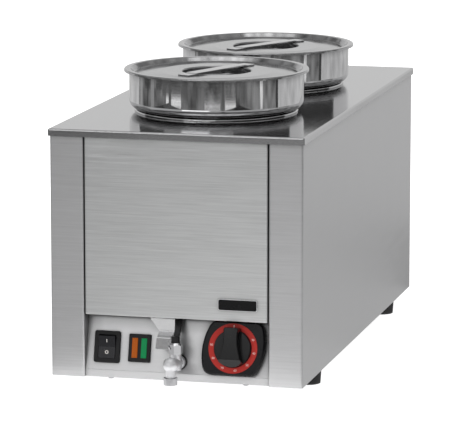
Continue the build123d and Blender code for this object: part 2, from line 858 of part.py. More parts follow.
def guard_rivets():
    """Rivets through the guard and the front panel's lower fold."""
    rivets = []
    low = front_bottom - seam_gap - sheet
    high = front_bottom + sheet
    for x, y in guard_rivet_places():
        rivet = cylinder_up(rivet_head_radius, low - rivet_head_height, low, x, y)
        rivet += cylinder_up(rivet_radius, low, high, x, y)
        rivets.append(rivet + cylinder_up(rivet_head_radius, high, high + rivet_head_height, x, y))
    return Compound(children=rivets)


def blades(count, pitch, depth):
    """Row of flat terminals on the back of a switch or thermostat."""
    first = -(count - 1) / 2 * pitch
    back = -depth - blade_length / 2
    places = [Pos(0, first + step * pitch, back) for step in range(count)]
    return [place * Box(blade_width, blade_sheet, blade_length) for place in places]


def switch_housing():
    """Switch frame and body, with the well and the pin holes of the rocker."""
    frame = extrude(RectangleRounded(switch_width, switch_height, bezel_sheet), bezel_sheet)
    frame = chamfer(frame.faces().sort_by(Axis.Z)[-1].edges(), bezel_sheet / 4)
    width = switch_width - 2 * (cutout_inset + seam_gap)
    height = switch_height - 2 * (cutout_inset + seam_gap)
    body = frame + Pos(0, 0, -switch_body_depth / 2) * Box(width, height, switch_body_depth)
    well = Box(
        rocker_width + 2 * rocker_side_gap,
        rocker_height + 2 * rocker_end_gap,
        rocker_well,
        align=(Align.CENTER, Align.CENTER, Align.MAX),
    )
    body -= Pos(0, 0, bezel_sheet) * well
    pin_span = rocker_width + 2 * rocker_pin_length + 2 * seam_gap
    body -= Rot(0, 90, 0) * Cylinder(rocker_pin_radius + running_gap, pin_span)
    for blade in blades(2, switch_height / 3, switch_body_depth):
        body += blade
    return panel_plane(switch_x, switch_up).location * body


def switch_rocker():
    """Rocker with two pin ends, its lower half pressed at rest."""
    half = rocker_height / 2
    crown = bezel_sheet + rocker_rise
    dip = crown - half * math.tan(math.radians(rocker_throw))
    foot = (rocker_well - bezel_sheet) / 2
    outline = Polyline(
        (half, crown),
        (0, dip),
        (-half, crown),
        (-half + rocker_end_gap, -foot),
        (half - rocker_end_gap, -foot),
        close=True,
    )
    rocker = extrude(Plane.YZ * make_face(outline), rocker_width / 2, both=True)
    rocker += Rot(0, 90, 0) * Cylinder(rocker_pin_radius, rocker_width + 2 * rocker_pin_length)
    return panel_plane(switch_x, switch_up).location * Rot(rocker_throw, 0, 0) * rocker


def lamp_housing():
    """Frame and body of the twin pilot lamp."""
    frame = extrude(RectangleRounded(lamp_width, lamp_height, bezel_sheet / 2), bezel_sheet)
    frame = chamfer(frame.faces().sort_by(Axis.Z)[-1].edges(), bezel_sheet / 4)
    width = lamp_width - 2 * (cutout_inset + seam_gap)
    height = lamp_height - 2 * (cutout_inset + seam_gap)
    body = frame + Pos(0, 0, -lamp_body_depth / 2) * Box(width, height, lamp_body_depth)
    for side in (-1, 1):
        x = side * (lens_width + lens_gap) / 2
        low = bezel_sheet - lens_depth - seam_gap
        window = extrude(Rectangle(lens_width + 2 * seam_gap, lens_height + 2 * seam_gap), lens_depth * 2)
        body -= Pos(x, 0, low) * window
    for blade in blades(3, lamp_height / 4, lamp_body_depth):
        body += blade
    return panel_plane(lamp_x, lamp_up).location * body


def lamp_lens(side):
    """One coloured lens of the pilot lamp."""
    lens = extrude(RectangleRounded(lens_width, lens_height, lens_width / 12), lens_depth + lens_proud)
    lens = chamfer(lens.faces().sort_by(Axis.Z)[-1].edges(), lens_proud / 2)
    place = Pos(side * (lens_width + lens_gap) / 2, 0, bezel_sheet - lens_depth)
    return panel_plane(lamp_x, lamp_up).location * place * lens


def dial_bezel():
    """Black moulding round the dial: flat above and below, with bulging sides."""
    side = dial_width / 2
    level = dial_height / 2
    full = side - dial_full_corner
    slim = side - dial_slim_corner
    sides = [
        ThreePointArc((slim, -level), (side, dial_bulge_up), (full, level)),
        Line((full, level), (-slim, level)),
        ThreePointArc((-slim, level), (-side, -dial_bulge_up), (-full, -level)),
        Line((-full, -level), (slim, -level)),
    ]
    outline = make_face(sides)
    outline = fillet(outline.vertices(), dial_corner)
    bezel = extrude(outline, dial_bezel_depth)
    bezel = chamfer(bezel.faces().sort_by(Axis.Z)[-1].edges(), dial_bevel)
    hollow = extrude(offset(outline, -dial_wall), dial_bezel_depth - dial_wall)
    bezel -= hollow
    bezel -= cylinder_up(spindle_radius + 3 * hole_room, 0, dial_bezel_depth)
    return panel_plane(dial_x, dial_up).location * bezel


def dial_ring():
    """Red scale ring on the bezel."""
    low = dial_bezel_depth
    ring = cylinder_up(ring_radius, low, low + ring_sheet)
    ring -= cylinder_up(ring_radius - ring_width, low, low + ring_sheet)
    return panel_plane(dial_x, dial_up).location * ring


def knob_grip():
    """Plan of the knob's grip: a waisted bar, with a pointer end and a wide round tail."""
    tip = knob_tip_width / 2
    tip_up = knob_radius + knob_nose
    waist = knob_waist_width / 2
    tail = knob_tail_width / 2
    tail_up = -math.sqrt(knob_radius**2 - tail**2)
    sides = [
        Line((tip, tip_up), (-tip, tip_up)),
        ThreePointArc((-tip, tip_up), (-waist, knob_waist_up), (-tail, tail_up)),
        ThreePointArc((-tail, tail_up), (0, -knob_radius), (tail, tail_up)),
        ThreePointArc((tail, tail_up), (waist, knob_waist_up), (tip, tip_up)),
    ]
    grip = make_face(sides)
    return fillet(grip.vertices(), knob_grip_round)


def knob():
    """Knob with a raised grip that ends in a pointer."""
    low = dial_bezel_depth + knob_lift
    skirt_top = low + knob_skirt
    top = low + knob_height
    skirt = cylinder_up(knob_radius, low, skirt_top)
    skirt = fillet(skirt.faces().sort_by(Axis.Z)[-1].edges(), knob_edge_round)
    grip_low = dial_bezel_depth + ring_sheet + knob_lift
    grip = Pos(0, 0, grip_low) * extrude(knob_grip(), top - grip_low, taper=knob_grip_taper)
    reach = knob_radius + knob_nose
    side_view = Polyline(
        (-reach, grip_low),
        (reach, grip_low),
        (reach, top),
        (knob_tail_slope - knob_radius, top),
        (-knob_radius, skirt_top),
        (-reach, skirt_top),
        close=True,
    )
    grip &= extrude(Plane.YZ * make_face(side_view), knob_tail_width, both=True)
    grip = fillet(grip.faces().sort_by(Axis.Z)[-1].edges(), knob_edge_round)
    body = skirt + grip
    body -= cylinder_up(spindle_radius + running_gap, low, low + spindle_grip)
    return panel_plane(dial_x, dial_up).location * body


def thermostat_spindle():
    """Shaft from the thermostat into the knob."""
    low = thermostat_face - spindle_tail
    high = dial_bezel_depth + knob_lift + spindle_grip - seam_gap
    return panel_plane(dial_x, dial_up).location * cylinder_up(spindle_radius, low, high)


def thermostat_body():
    """Thermostat behind the panel, with a bushing for the spindle."""
    top = thermostat_face
    box = Box(
        thermostat_width,
        thermostat_height,
        thermostat_depth,
        align=(Align.CENTER, Align.CENTER, Align.MAX),
    )
    body = Pos(0, 0, top) * box
    body += cylinder_up(bushing_radius, top, bushing_length)
    bore_low = top - spindle_tail - seam_gap
    body -= cylinder_up(spindle_radius + running_gap, bore_low, bushing_length)
    for side in (-1, 1):
        x = side * thermostat_screw_spread
        body -= cylinder_up(screw_radius + running_gap, top - screw_length, top, x)
    for blade in blades(2, thermostat_height / 2, thermostat_depth - top):
        body += blade
    return panel_plane(dial_x, dial_up).location * body


def thermostat_screws():
    """Screws that hold the thermostat, under the bezel."""
    screws = []
    for side in (-1, 1):
        x = side * thermostat_screw_spread
        screw = cylinder_up(screw_head_radius, 0, screw_head_height, x)
        screws.append(screw + cylinder_up(screw_radius, seam_gap - screw_length, 0, x))
    place = panel_plane(dial_x, dial_up).location
    return Compound(children=[place * screw for screw in screws])


def thermostat_bulb():
    """Sensor bulb under the tank and the capillary tube to the thermostat."""
    dial = panel_plane(dial_x, dial_up)
    back = thermostat_face - thermostat_depth - seam_gap
    start = dial.from_local_coords(Vector(0, 0, back))
    lead = dial.from_local_coords(Vector(0, 0, back - capillary_lead))
    level = tank_under - bulb_radius - seam_gap
    bulb_y = tank_front + bulb_start
    turn = (element_pitch, bulb_y - capillary_lead, level)
    path = FilletPolyline(start, lead, turn, (element_pitch, bulb_y, level), radius=capillary_bend)
    bulb = Plane(origin=(element_pitch, bulb_y, level), z_dir=(0, 1, 0)).location
    return tube(path, capillary_radius) + bulb * extrude(Circle(bulb_radius), bulb_length)


def heating_element():
    """Tubular element in four runs under the tank."""
    level = tank_under - element_radius - seam_gap
    near = tank_front + element_end_margin
    far = -near
    outer = 1.5 * element_pitch
    inner = 0.5 * element_pitch
    points = [
        (-outer, near - element_tail),
        (-outer, far),
        (-inner, far),
        (-inner, near),
        (inner, near),
        (inner, far),
        (outer, far),
        (outer, near - element_tail),
    ]
    points = [(x, y, level) for x, y in points]
    element = tube(FilletPolyline(*points, radius=0.48 * element_pitch), element_radius)
    for x in (-outer, outer):
        end = Plane(origin=(x, near - element_tail, level), z_dir=(0, -1, 0)).location
        element += end * extrude(Circle(element_pin_radius), element_pin_length)
    return element


def clamp_top():
    """Height of the clamp bars' upper face, against the element."""
    return tank_under - 2 * element_radius - 2 * seam_gap


def element_clamps():
    """Flat bars that press the element to the tank."""
    half = 1.5 * element_pitch + element_radius + clamp_end
    level = (clamp_top() - clamp_sheet, clamp_top())
    bars = []
    for y in (-clamp_spread, clamp_spread):
        bar = block((-half, half), (y - clamp_width / 2, y + clamp_width / 2), level)
        for x, stud_y in clamp_stud_places():
            bar -= cylinder_up(stud_radius + hole_room, *level, x, stud_y)
        bars.append(bar)
    return Compound(children=bars)


def clamp_studs():
    """Studs welded under the tank for the clamp bars."""
    low = clamp_top() - clamp_sheet - nut_height - stud_end
    return Compound(
        children=[cylinder_up(stud_radius, low, tank_under, x, y) for x, y in clamp_stud_places()]
    )


def clamp_nuts():
    """Nuts under the clamp bars."""
    high = clamp_top() - clamp_sheet
    low = high - nut_height
    nuts = []
    for x, y in clamp_stud_places():
        nut = hexagon_up(nut_width, low, high, x, y)
        nuts.append(nut - cylinder_up(stud_radius + running_gap, low, high, x, y))
    return Compound(children=nuts)


def thermal_cutout():
    """Disc cutout under the tank, with two terminals."""
    high = tank_under - seam_gap
    low = high - cutout_height
    body = cylinder_up(cutout_radius, low, high)
    for side in (-1, 1):
        body += Pos(0, side * cutout_radius / 2, low - blade_length / 2) * Box(
            blade_width, blade_sheet, blade_length
        )
    return Pos(-element_pitch, tank_front + cutout_back) * body


def terminal_block():
    """Supply terminals on the base plate."""
    length, width, height = terminal_size
    body = block((-length / 2, length / 2), (-width / 2, width / 2), (0, height))
    for step in range(terminal_ways):
        x = way_place(step)
        body -= Pos(x, 0, height / 3) * Rot(90, 0, 0) * Cylinder(terminal_way, 2 * width)
        body -= cylinder_up(terminal_way, height / 2, height, x, 0)
    return Pos(-gland_side, back_y - terminal_from_back, body_bottom + sheet) * body


def way_place(step):
    """Wire entry across the terminal block, from the block's middle."""
    return (step + 0.5 - terminal_ways / 2) * terminal_size[0] / terminal_ways


def supply_run(step, y):
    """Last points of a wire along the base plate and into the terminal block, from a given depth."""
    x = way_place(step) - gland_side
    floor = body_bottom + sheet
    low = floor + wire_radius + rest_gap
    level = floor + terminal_size[2] / 3
    face = back_y - terminal_from_back - terminal_size[1] / 2
    return [
        (x, y, low),
        (x, face - 2 * wire_lead, low),
        (x, face - wire_short_lead, level),
        (x, face + wire_entry, level),
    ]


def wire_routes():
    """Points of each wire between switch, thermostat, element, cutout, lamp and terminal block."""
    switch = panel_plane(switch_x, switch_up)
    lamp = panel_plane(lamp_x, lamp_up)
    dial = panel_plane(dial_x, dial_up)

    def lead(plane, across, depth, length):
        """End of a wire at a flat terminal and the point straight behind it."""
        tip = depth + blade_length + seam_gap
        ends = [Vector(0, across, -tip), Vector(0, across, -tip - length)]
        return [tuple(plane.from_local_coords(end)) for end in ends]

    switch_low = lead(switch, -switch_height / 6, switch_body_depth, wire_lead)
    switch_high = lead(switch, switch_height / 6, switch_body_depth, wire_lead)
    lamp_low = lead(lamp, -lamp_height / 4, lamp_body_depth, wire_lead)
    depth = thermostat_depth - thermostat_face
    heat_low = lead(dial, -thermostat_height / 4, depth, wire_short_lead)
    heat_high = lead(dial, thermostat_height / 4, depth, wire_short_lead)
    cross_y = tank_front + wire_cross
    pin_x = 1.5 * element_pitch
    pin_y = tank_front + element_end_margin - element_tail - element_pin_length - seam_gap
    pin_z = tank_under - element_radius - seam_gap
    cutout_y = tank_front + cutout_back
    cutout_z = tank_under - 2 * seam_gap - cutout_height - blade_length
    fall_z = tank_under - wire_fall
    return [
        switch_low + supply_run(0, switch_low[1][1] + wire_drop),
        switch_high
        + [(lamp_x, cross_y, switch_high[1][2]), (element_pitch, cross_y, heat_low[1][2])]
        + heat_low[::-1],
        heat_high + [(pin_x, pin_y - wire_lead, pin_z), (pin_x, pin_y, pin_z)],
        [
            (-pin_x, pin_y, pin_z),
            (-pin_x, pin_y - wire_short_lead, pin_z),
            (-pin_x, pin_y - wire_short_lead, fall_z),
            (-element_pitch, cutout_y - 2 * wire_lead, fall_z - wire_radius),
            (-element_pitch, cutout_y - cutout_radius / 2, fall_z - wire_radius),
            (-element_pitch, cutout_y - cutout_radius / 2, cutout_z),
        ],
        [
            (-element_pitch, cutout_y + cutout_radius / 2, cutout_z),
            (-element_pitch, cutout_y + cutout_radius / 2, fall_z - 2 * wire_lead),
        ]
        + supply_run(1, cutout_y + 2 * wire_lead),
        lamp_low + supply_run(2, lamp_low[1][1] + wire_drop),
    ]


def wiring_loom():
    """Wires inside the casing."""
    paths = [FilletPolyline(*route, radius=wire_bend) for route in wire_routes()]
    return Compound(children=[tube(path, wire_radius) for path in paths])


def gland_plane():
    """Plane on the back panel at the cable gland, z out of the panel."""
    return Plane(origin=(-gland_side, back_face(), body_bottom + gland_up), z_dir=(0, 1, 0))


def cable_gland():
    """Cable gland with its hexagon, domed cap and inner thread."""
    cap_top = gland_hex_height + gland_cap_length
    gland = hexagon_up(gland_hex, 0, gland_hex_height)
    cap = cylinder_up(gland_cap_radius, gland_hex_height, cap_top)
    gland += fillet(cap.faces().sort_by(Axis.Z)[-1].edges(), gland_cap_round)
    gland += cylinder_up(gland_thread_radius, -gland_tail, 0)
    gland -= cylinder_up(gland_bore, -gland_tail, cap_top)
    return gland_plane().location * gland


def gland_nut():
    """Lock nut of the cable gland, inside the casing."""
    nut = hexagon_up(gland_hex, -sheet - gland_nut_height, -sheet)
    nut -= cylinder_up(gland_thread_radius + running_gap, -sheet - gland_nut_height, -sheet)
    return gland_plane().location * nut


def badge_plate():
    """Plain plate on the front panel."""
    x = front_half - badge_right - badge_width / 2
    z = front_bottom + badge_up + badge_height / 2
    plate = extrude(RectangleRounded(badge_width, badge_height, badge_corner), badge_sheet)
    plate = chamfer(plate.faces().sort_by(Axis.Z)[-1].edges(), badge_sheet / 3)
    return Plane(origin=(x, front_y, z), x_dir=(1, 0, 0), z_dir=(0, -1, 0)).location * plate


nodes = {
    "deck_plate": deck_plate(),
    "side_panel_left": side_panel(-1),
    "side_panel_right": side_panel(1),
    "front_panel": front_panel(),
    "control_panel": control_panel(),
    "panel_screws": panel_screws(),
    "back_panel": back_panel(),
    "back_screws": back_screws(),
    "base_plate": base_plate(),
    "foot_screws": foot_screws(),
    "foot_nuts": foot_nuts(),
    "water_tank": water_tank(),
    "drain_pipe": drain_pipe(),
    "drain_union": drain_union(),
    "tap_lock_nut": tap_lock_nut(),
    "tap_seal_ring": tap_seal_ring(),
    "tap_body": tap_body(),
    "tap_nozzle": tap_nozzle(),
    "tap_bonnet": tap_bonnet(),
    "tap_plug": tap_plug(),
    "tap_lever": tap_lever(),
    "lever_guard": lever_guard(),
    "guard_rivets": guard_rivets(),
    "switch_housing": switch_housing(),
    "switch_rocker": switch_rocker(),
    "lamp_housing": lamp_housing(),
    "lamp_lens_orange": lamp_lens(-1),
    "lamp_lens_green": lamp_lens(1),
    "dial_bezel": dial_bezel(),
    "dial_ring": dial_ring(),
    "knob": knob(),
    "thermostat_spindle": thermostat_spindle(),
    "thermostat_body": thermostat_body(),
    "thermostat_screws": thermostat_screws(),
    "thermostat_bulb": thermostat_bulb(),
    "heating_element": heating_element(),
    "element_clamps": element_clamps(),
    "clamp_studs": clamp_studs(),
    "clamp_nuts": clamp_nuts(),
    "thermal_cutout": thermal_cutout(),
    "terminal_block": terminal_block(),
    "wiring_loom": wiring_loom(),
    "cable_gland": cable_gland(),
    "gland_nut": gland_nut(),
    "badge_plate": badge_plate(),
}
for name, (x, y) in foot_places().items():
    nodes["rubber_foot_" + name] = rubber_foot(x, y)
for name, y in pot_places.items():
    nodes["pot_" + name] = pot(y)
    nodes["lid_" + name] = lid(y)
    nodes["lid_handle_" + name] = lid_handle(y, strap_turns[name])

os.makedirs("parts", exist_ok=True)
for name, shape in nodes.items():
    export_step(shape, f"parts/{name}.step")
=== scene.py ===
"""Looks of a counter-top electric bain marie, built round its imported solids.

The solids get their finishes here and keep their shapes, apart from two sets of screws, whose heads are
modelled again with a cross in them. The printed figures, the switch signs, the knob's dot and the badge's
frame are added, and a pale studio stands round the object with the camera at the photograph's angle.
Everything is in metres in the frame of the solids: X to the right, Y to the back, Z up.
"""
import json
import logging
import math
from dataclasses import dataclass, replace
from enum import Enum
from typing import Any, Dict, Iterable, List, Optional, Sequence, Tuple

import bmesh
import bpy
from mathutils import Matrix, Vector
from mathutils.bvhtree import BVHTree

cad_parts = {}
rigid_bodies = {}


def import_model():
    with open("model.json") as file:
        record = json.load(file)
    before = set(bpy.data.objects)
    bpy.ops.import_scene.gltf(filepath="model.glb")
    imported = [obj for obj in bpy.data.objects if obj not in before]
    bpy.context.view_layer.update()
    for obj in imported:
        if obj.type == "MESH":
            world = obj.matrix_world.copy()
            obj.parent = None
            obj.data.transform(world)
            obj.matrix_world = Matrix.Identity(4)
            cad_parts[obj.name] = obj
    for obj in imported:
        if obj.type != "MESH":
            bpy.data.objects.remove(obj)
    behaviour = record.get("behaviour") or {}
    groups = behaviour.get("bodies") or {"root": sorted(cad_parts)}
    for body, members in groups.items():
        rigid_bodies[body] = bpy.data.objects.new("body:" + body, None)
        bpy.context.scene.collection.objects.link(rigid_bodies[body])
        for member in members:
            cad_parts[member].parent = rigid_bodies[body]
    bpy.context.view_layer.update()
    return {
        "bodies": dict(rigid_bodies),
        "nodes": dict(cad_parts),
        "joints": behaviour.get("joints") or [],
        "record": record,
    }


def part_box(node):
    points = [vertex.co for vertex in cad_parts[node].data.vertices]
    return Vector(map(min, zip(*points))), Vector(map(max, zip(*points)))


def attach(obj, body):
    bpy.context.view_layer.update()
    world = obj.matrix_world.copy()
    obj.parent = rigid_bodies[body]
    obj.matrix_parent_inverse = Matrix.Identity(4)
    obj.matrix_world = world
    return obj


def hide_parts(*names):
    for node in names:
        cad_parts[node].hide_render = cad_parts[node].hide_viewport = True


LOG = logging.getLogger("bain_marie")
MM = 0.001
WHITE = "#ffffff"

# Most values of a noise texture lie between these two.
NOISE_LOW = 0.3
NOISE_HIGH = 0.7
# Length of one band of a wave texture at a scale of 1.
WAVE_BAND = 0.314
# Rays with which a surface looks for an inner corner near it, to paint shade there.
CREASE_RAYS = 16
# Points closer than this are one point.
SAME_POINT = 1e-6

Colour = Tuple[float, float, float, float]
Frame = Dict[str, Any]
Span = Tuple[float, float]


def linear_colour(code: str) -> Colour:
    """Turn an sRGB hex value into a linear colour.

    Args:
        code: Six hex digits after a hash sign.

    Returns:
        Red, green and blue in linear light, and full opacity.
    """
    values = [int(code[at : at + 2], 16) / 255 for at in (1, 3, 5)]
    linear = [v / 12.92 if v <= 0.04045 else ((v + 0.055) / 1.055) ** 2.4 for v in values]
    return linear[0], linear[1], linear[2], 1.0


def per_metre(size_mm: float) -> float:
    """How often a size in millimetres goes into a metre, which is a pattern's scale."""
    return 1.0 / (MM * size_mm)


def fill_inputs(node: bpy.types.Node, inputs: Dict[Any, Any]) -> None:
    """Fill or link the inputs of a node.

    Args:
        node: The node.
        inputs: What each input gets. A socket is linked, anything else is written to the input.
    """
    for key, value in inputs.items():
        if isinstance(value, bpy.types.NodeSocket):
            node.id_data.links.new(value, node.inputs[key])
        else:
            node.inputs[key].default_value = value


def add_node(
    tree: bpy.types.NodeTree, kind: str, inputs: Optional[Dict[Any, Any]] = None, **settings: Any
) -> bpy.types.Node:
    """Add a shader node, write its settings, and fill or link its inputs.

    Args:
        tree: The node tree of a material or of the world.
        kind: The node's type, without the words that every shader node's type starts with.
        inputs: What its inputs get.
        settings: Properties of the node itself.

    Returns:
        The new node.
    """
    node = tree.nodes.new("ShaderNode" + kind)
    for key, value in settings.items():
        setattr(node, key, value)
    fill_inputs(node, inputs or {})
    return node


def bare_tree(owner: bpy.types.ID) -> bpy.types.NodeTree:
    """Give a material or a world an empty node tree.

    Args:
        owner: The material or world.

    Returns:
        The tree.
    """
    owner.use_nodes = True
    owner.node_tree.nodes.clear()
    return owner.node_tree


def mesh_object(
    name: str, mesh: bmesh.types.BMesh, material: Optional[bpy.types.Material] = None
) -> bpy.types.Object:
    """Turn a finished bmesh into an object of the scene.

    Args:
        name: Its name.
        mesh: Its shape, which is used up.
        material: Its material, if it gets one.

    Returns:
        The new object.
    """
    data = bpy.data.meshes.new(name)
    mesh.to_mesh(data)
    mesh.free()
    if material:
        data.materials.append(material)
    made = bpy.data.objects.new(name, data)
    bpy.context.scene.collection.objects.link(made)
    return made


class Grain(Enum):
    """The way in which the lines of a brushed sheet run: which of the axes they are drawn out along."""

    LEVEL = (True, True, False)
    ALONG = (False, True, False)


@dataclass(frozen=True)
class Finish:
    """A surface: its colour, how rough it is and whether it is a metal."""

    name: str
    colour: str
    roughness: float
    metallic: float = 0.0

    def material(self) -> bpy.types.Material:
        """Make the material with its shader, its output and the details of its surface.

        Returns:
            The material.
        """
        material = bpy.data.materials.new(self.name)
        tree = bare_tree(material)
        colour = linear_colour(self.colour)
        shader = add_node(
            tree,
            "BsdfPrincipled",
            {"Base Color": colour, "Roughness": self.roughness, "Metallic": self.metallic},
        )
        add_node(tree, "OutputMaterial", {"Surface": shader.outputs["BSDF"]})
        self.detail(shader, add_node(tree, "TexCoord").outputs["Object"])
        return material

    def detail(self, shader: bpy.types.Node, place: bpy.types.NodeSocket) -> None:
        """Add the details of the surface to its shader. A plain finish has none."""

    def toned(
        self, pattern: bpy.types.NodeSocket, shares: Span, crease_shade_reach: float = 0.0
    ) -> bpy.types.NodeSocket:
        """Let a pattern choose between two tones of the finish's colour, and darken it with painted shade in
        inner corners.

        Args:
            pattern: What chooses between the tones.
            shares: The two tones, as shares of the colour.
            crease_shade_reach: How far from a corner the tone darkens, or 0 where it doesn't.

        Returns:
            The tone.
        """
        tree = pattern.id_data
        colour = linear_colour(self.colour)[:3]
        first, second = [[min(1.0, part * share) for part in colour] + [1.0] for share in shares]
        # A mix node takes its colours at sockets 6 and 7, and gives the mixed one at socket 2.
        tone = add_node(tree, "Mix", {0: pattern, 6: first, 7: second}, data_type="RGBA").outputs[2]
        # Painted shade: the tone darkens near gaps and inner corners, where shade falls.
        if crease_shade_reach:
            corner = {"Color": tone, "Distance": crease_shade_reach}
            tone = add_node(tree, "AmbientOcclusion", corner, samples=CREASE_RAYS).outputs["Color"]
        return tone

    def rough_range(self, pattern: bpy.types.NodeSocket, swing: float) -> Dict[str, Any]:
        """Say how a noise pattern becomes a roughness about the finish's own.

        Args:
            pattern: The noise.
            swing: How far the roughness goes up and down.

        Returns:
            The inputs of the node that maps the one range to the other.
        """
        return {
            "Value": pattern,
            "From Min": NOISE_LOW,
            "From Max": NOISE_HIGH,
            "To Min": self.roughness - swing,
            "To Max": self.roughness + swing,
        }


@dataclass(frozen=True)
class BrushedSteel(Finish):
    """Stainless sheet brushed with a belt: fine parallel lines that smear reflections across them.

    The real lines are about 0.1 mm apart. They are drawn far coarser, so that they show in the render.
    Painted shade darkens the sheet a little in gaps and inner corners.
    """

    metallic: float = 1.0
    grain: Grain = Grain.LEVEL
    line_mm: float = 1.3
    run_mm: float = 55.0
    tone_swing: float = 0.07
    rough_swing: float = 0.07
    smudge_mm: float = 70.0
    smudge_rough: float = 0.03
    line_depth: float = 0.10
    line_height: float = 0.05 * MM
    # How far the painted shade reaches out from gaps and inner corners.
    crease_shade_reach: float = 14.0 * MM

    def line_scale(self) -> List[float]:
        """Lines per metre along each axis."""
        return [per_metre(self.run_mm if drawn else self.line_mm) for drawn in self.grain.value]

    def detail(self, shader: bpy.types.Node, place: bpy.types.NodeSocket) -> None:
        """Draw the lines in the sheet's tone, roughness and relief, and slow smudges in its roughness.

        Args:
            shader: The sheet's shader.
            place: The place on the sheet.
        """
        tree = shader.id_data
        stretch = add_node(tree, "Mapping", {"Vector": place, "Scale": self.line_scale()})
        lines = add_node(
            tree,
            "TexNoise",
            {"Vector": stretch.outputs[0], "Scale": 1.0, "Detail": 3.0, "Roughness": 0.65},
        ).outputs[0]
        smudge = add_node(
            tree, "TexNoise", {"Vector": place, "Scale": per_metre(self.smudge_mm), "Detail": 2.0}
        )
        brushed = add_node(tree, "MapRange", self.rough_range(lines, self.rough_swing))
        handled = add_node(
            tree,
            "Math",
            {0: smudge.outputs[0], 1: self.smudge_rough, 2: brushed.outputs[0]},
            operation="MULTIPLY_ADD",
        )
        relief = add_node(
            tree, "Bump", {"Height": lines, "Strength": self.line_depth, "Distance": self.line_height}
        )
        shares = (1.0 - self.tone_swing, 1.0 + self.tone_swing)
        tone = self.toned(lines, shares, self.crease_shade_reach)
        fill_inputs(
            shader, {"Base Color": tone, "Roughness": handled.outputs[0], "Normal": relief.outputs[0]}
        )


@dataclass(frozen=True)
class SpunSteel(Finish):
    """Stainless pot metal, drawn and polished on a lathe: a mirror with faint rings round its axis.

    The rings of the polishing wheel are drawn about a millimetre apart, so that they show. Painted shade
    darkens the colour by a share inside a radius, for the recess under a lid's strap, and in gaps and inner
    corners.
    """

    metallic: float = 1.0
    axis_y: float = 0.0
    ring_mm: float = 1.1
    rough_swing: float = 0.012
    dent_mm: float = 45.0
    dent_depth: float = 0.10
    dent_height: float = 1.0 * MM
    ring_depth: float = 0.03
    ring_height: float = 0.03 * MM
    # Painted shade for a lid's recess: inside this radius, with a soft edge, the colour is darkened to this
    # share.
    painted_shade_radius: float = 0.0
    painted_shade_edge: float = 1.5 * MM
    painted_shade_share: float = 0.85
    # How far the painted shade reaches out from gaps and inner corners.
    crease_shade_reach: float = 10.0 * MM

    def detail(self, shader: bpy.types.Node, place: bpy.types.NodeSocket) -> None:
        """Draw rings about the pot's axis and a slow ripple, and paint shade into the middle.

        Args:
            shader: The metal's shader.
            place: The place on the pot or lid.
        """
        tree = shader.id_data
        plan = add_node(
            tree,
            "Mapping",
            {"Vector": place, "Location": (0.0, -self.axis_y, 0.0), "Scale": (1.0, 1.0, 0.0)},
        )
        radius = add_node(tree, "VectorMath", {0: plan.outputs[0]}, operation="LENGTH").outputs["Value"]
        height = add_node(tree, "SeparateXYZ", {0: place}).outputs["Z"]
        reach = add_node(tree, "Math", {0: radius, 1: height}, operation="ADD").outputs[0]
        rings = add_node(
            tree,
            "TexNoise",
            {"W": reach, "Scale": per_metre(self.ring_mm), "Detail": 2.0},
            noise_dimensions="1D",
        ).outputs[0]
        ripple = add_node(
            tree, "TexNoise", {"Vector": place, "Scale": per_metre(self.dent_mm), "Detail": 1.0}
        ).outputs[0]
        polish = add_node(tree, "MapRange", self.rough_range(rings, self.rough_swing))
        dents = add_node(
            tree, "Bump", {"Height": ripple, "Strength": self.dent_depth, "Distance": self.dent_height}
        ).outputs[0]
        relief = add_node(
            tree,
            "Bump",
            {"Height": rings, "Strength": self.ring_depth, "Distance": self.ring_height, "Normal": dents},
        )
        # Painted shade: the colour darkens inside the radius, for the recess under a lid's strap.
        painted_shade_end = self.painted_shade_radius + self.painted_shade_edge
        painted_shade = add_node(
            tree, "MapRange", {"Value": radius, "From Min": self.painted_shade_radius, "From Max": painted_shade_end}
        )
        tone = self.toned(painted_shade.outputs[0], (self.painted_shade_share, 1.0), self.crease_shade_reach)
        fill_inputs(
            shader, {"Base Color": tone, "Roughness": polish.outputs[0], "Normal": relief.outputs[0]}
        )


@dataclass(frozen=True)
class GrainyFinish(Finish):
    """A cast, moulded or turned surface: a fine grain, and slow patches in its tone and roughness."""

    grit_mm: float = 0.6
    grit_depth: float = 0.15
    grit_height: float = 0.05 * MM
    tone_swing: float = 0.06
    rough_swing: float = 0.05
    patch_mm: float = 14.0
    specular: float = 0.5

    def detail(self, shader: bpy.types.Node, place: bpy.types.NodeSocket) -> None:
        """Put grit in the surface's relief and slow patches in its tone and roughness.

        Args:
            shader: The surface's shader.
            place: The place on it.
        """
        tree = shader.id_data
        grit = add_node(
            tree, "TexNoise", {"Vector": place, "Scale": per_metre(self.grit_mm), "Detail": 2.0}
        ).outputs[0]
        patch = add_node(
            tree, "TexNoise", {"Vector": place, "Scale": per_metre(self.patch_mm), "Detail": 3.0}
        ).outputs[0]
        worn = add_node(tree, "MapRange", self.rough_range(patch, self.rough_swing))
        relief = add_node(
            tree, "Bump", {"Height": grit, "Strength": self.grit_depth, "Distance": self.grit_height}
        )
        fill_inputs(
            shader,
            {
                "Base Color": self.toned(patch, (1.0 - self.tone_swing, 1.0 + self.tone_swing)),
                "Roughness": worn.outputs[0],
                "Normal": relief.outputs[0],
                "Specular IOR Level": self.specular,
            },
        )


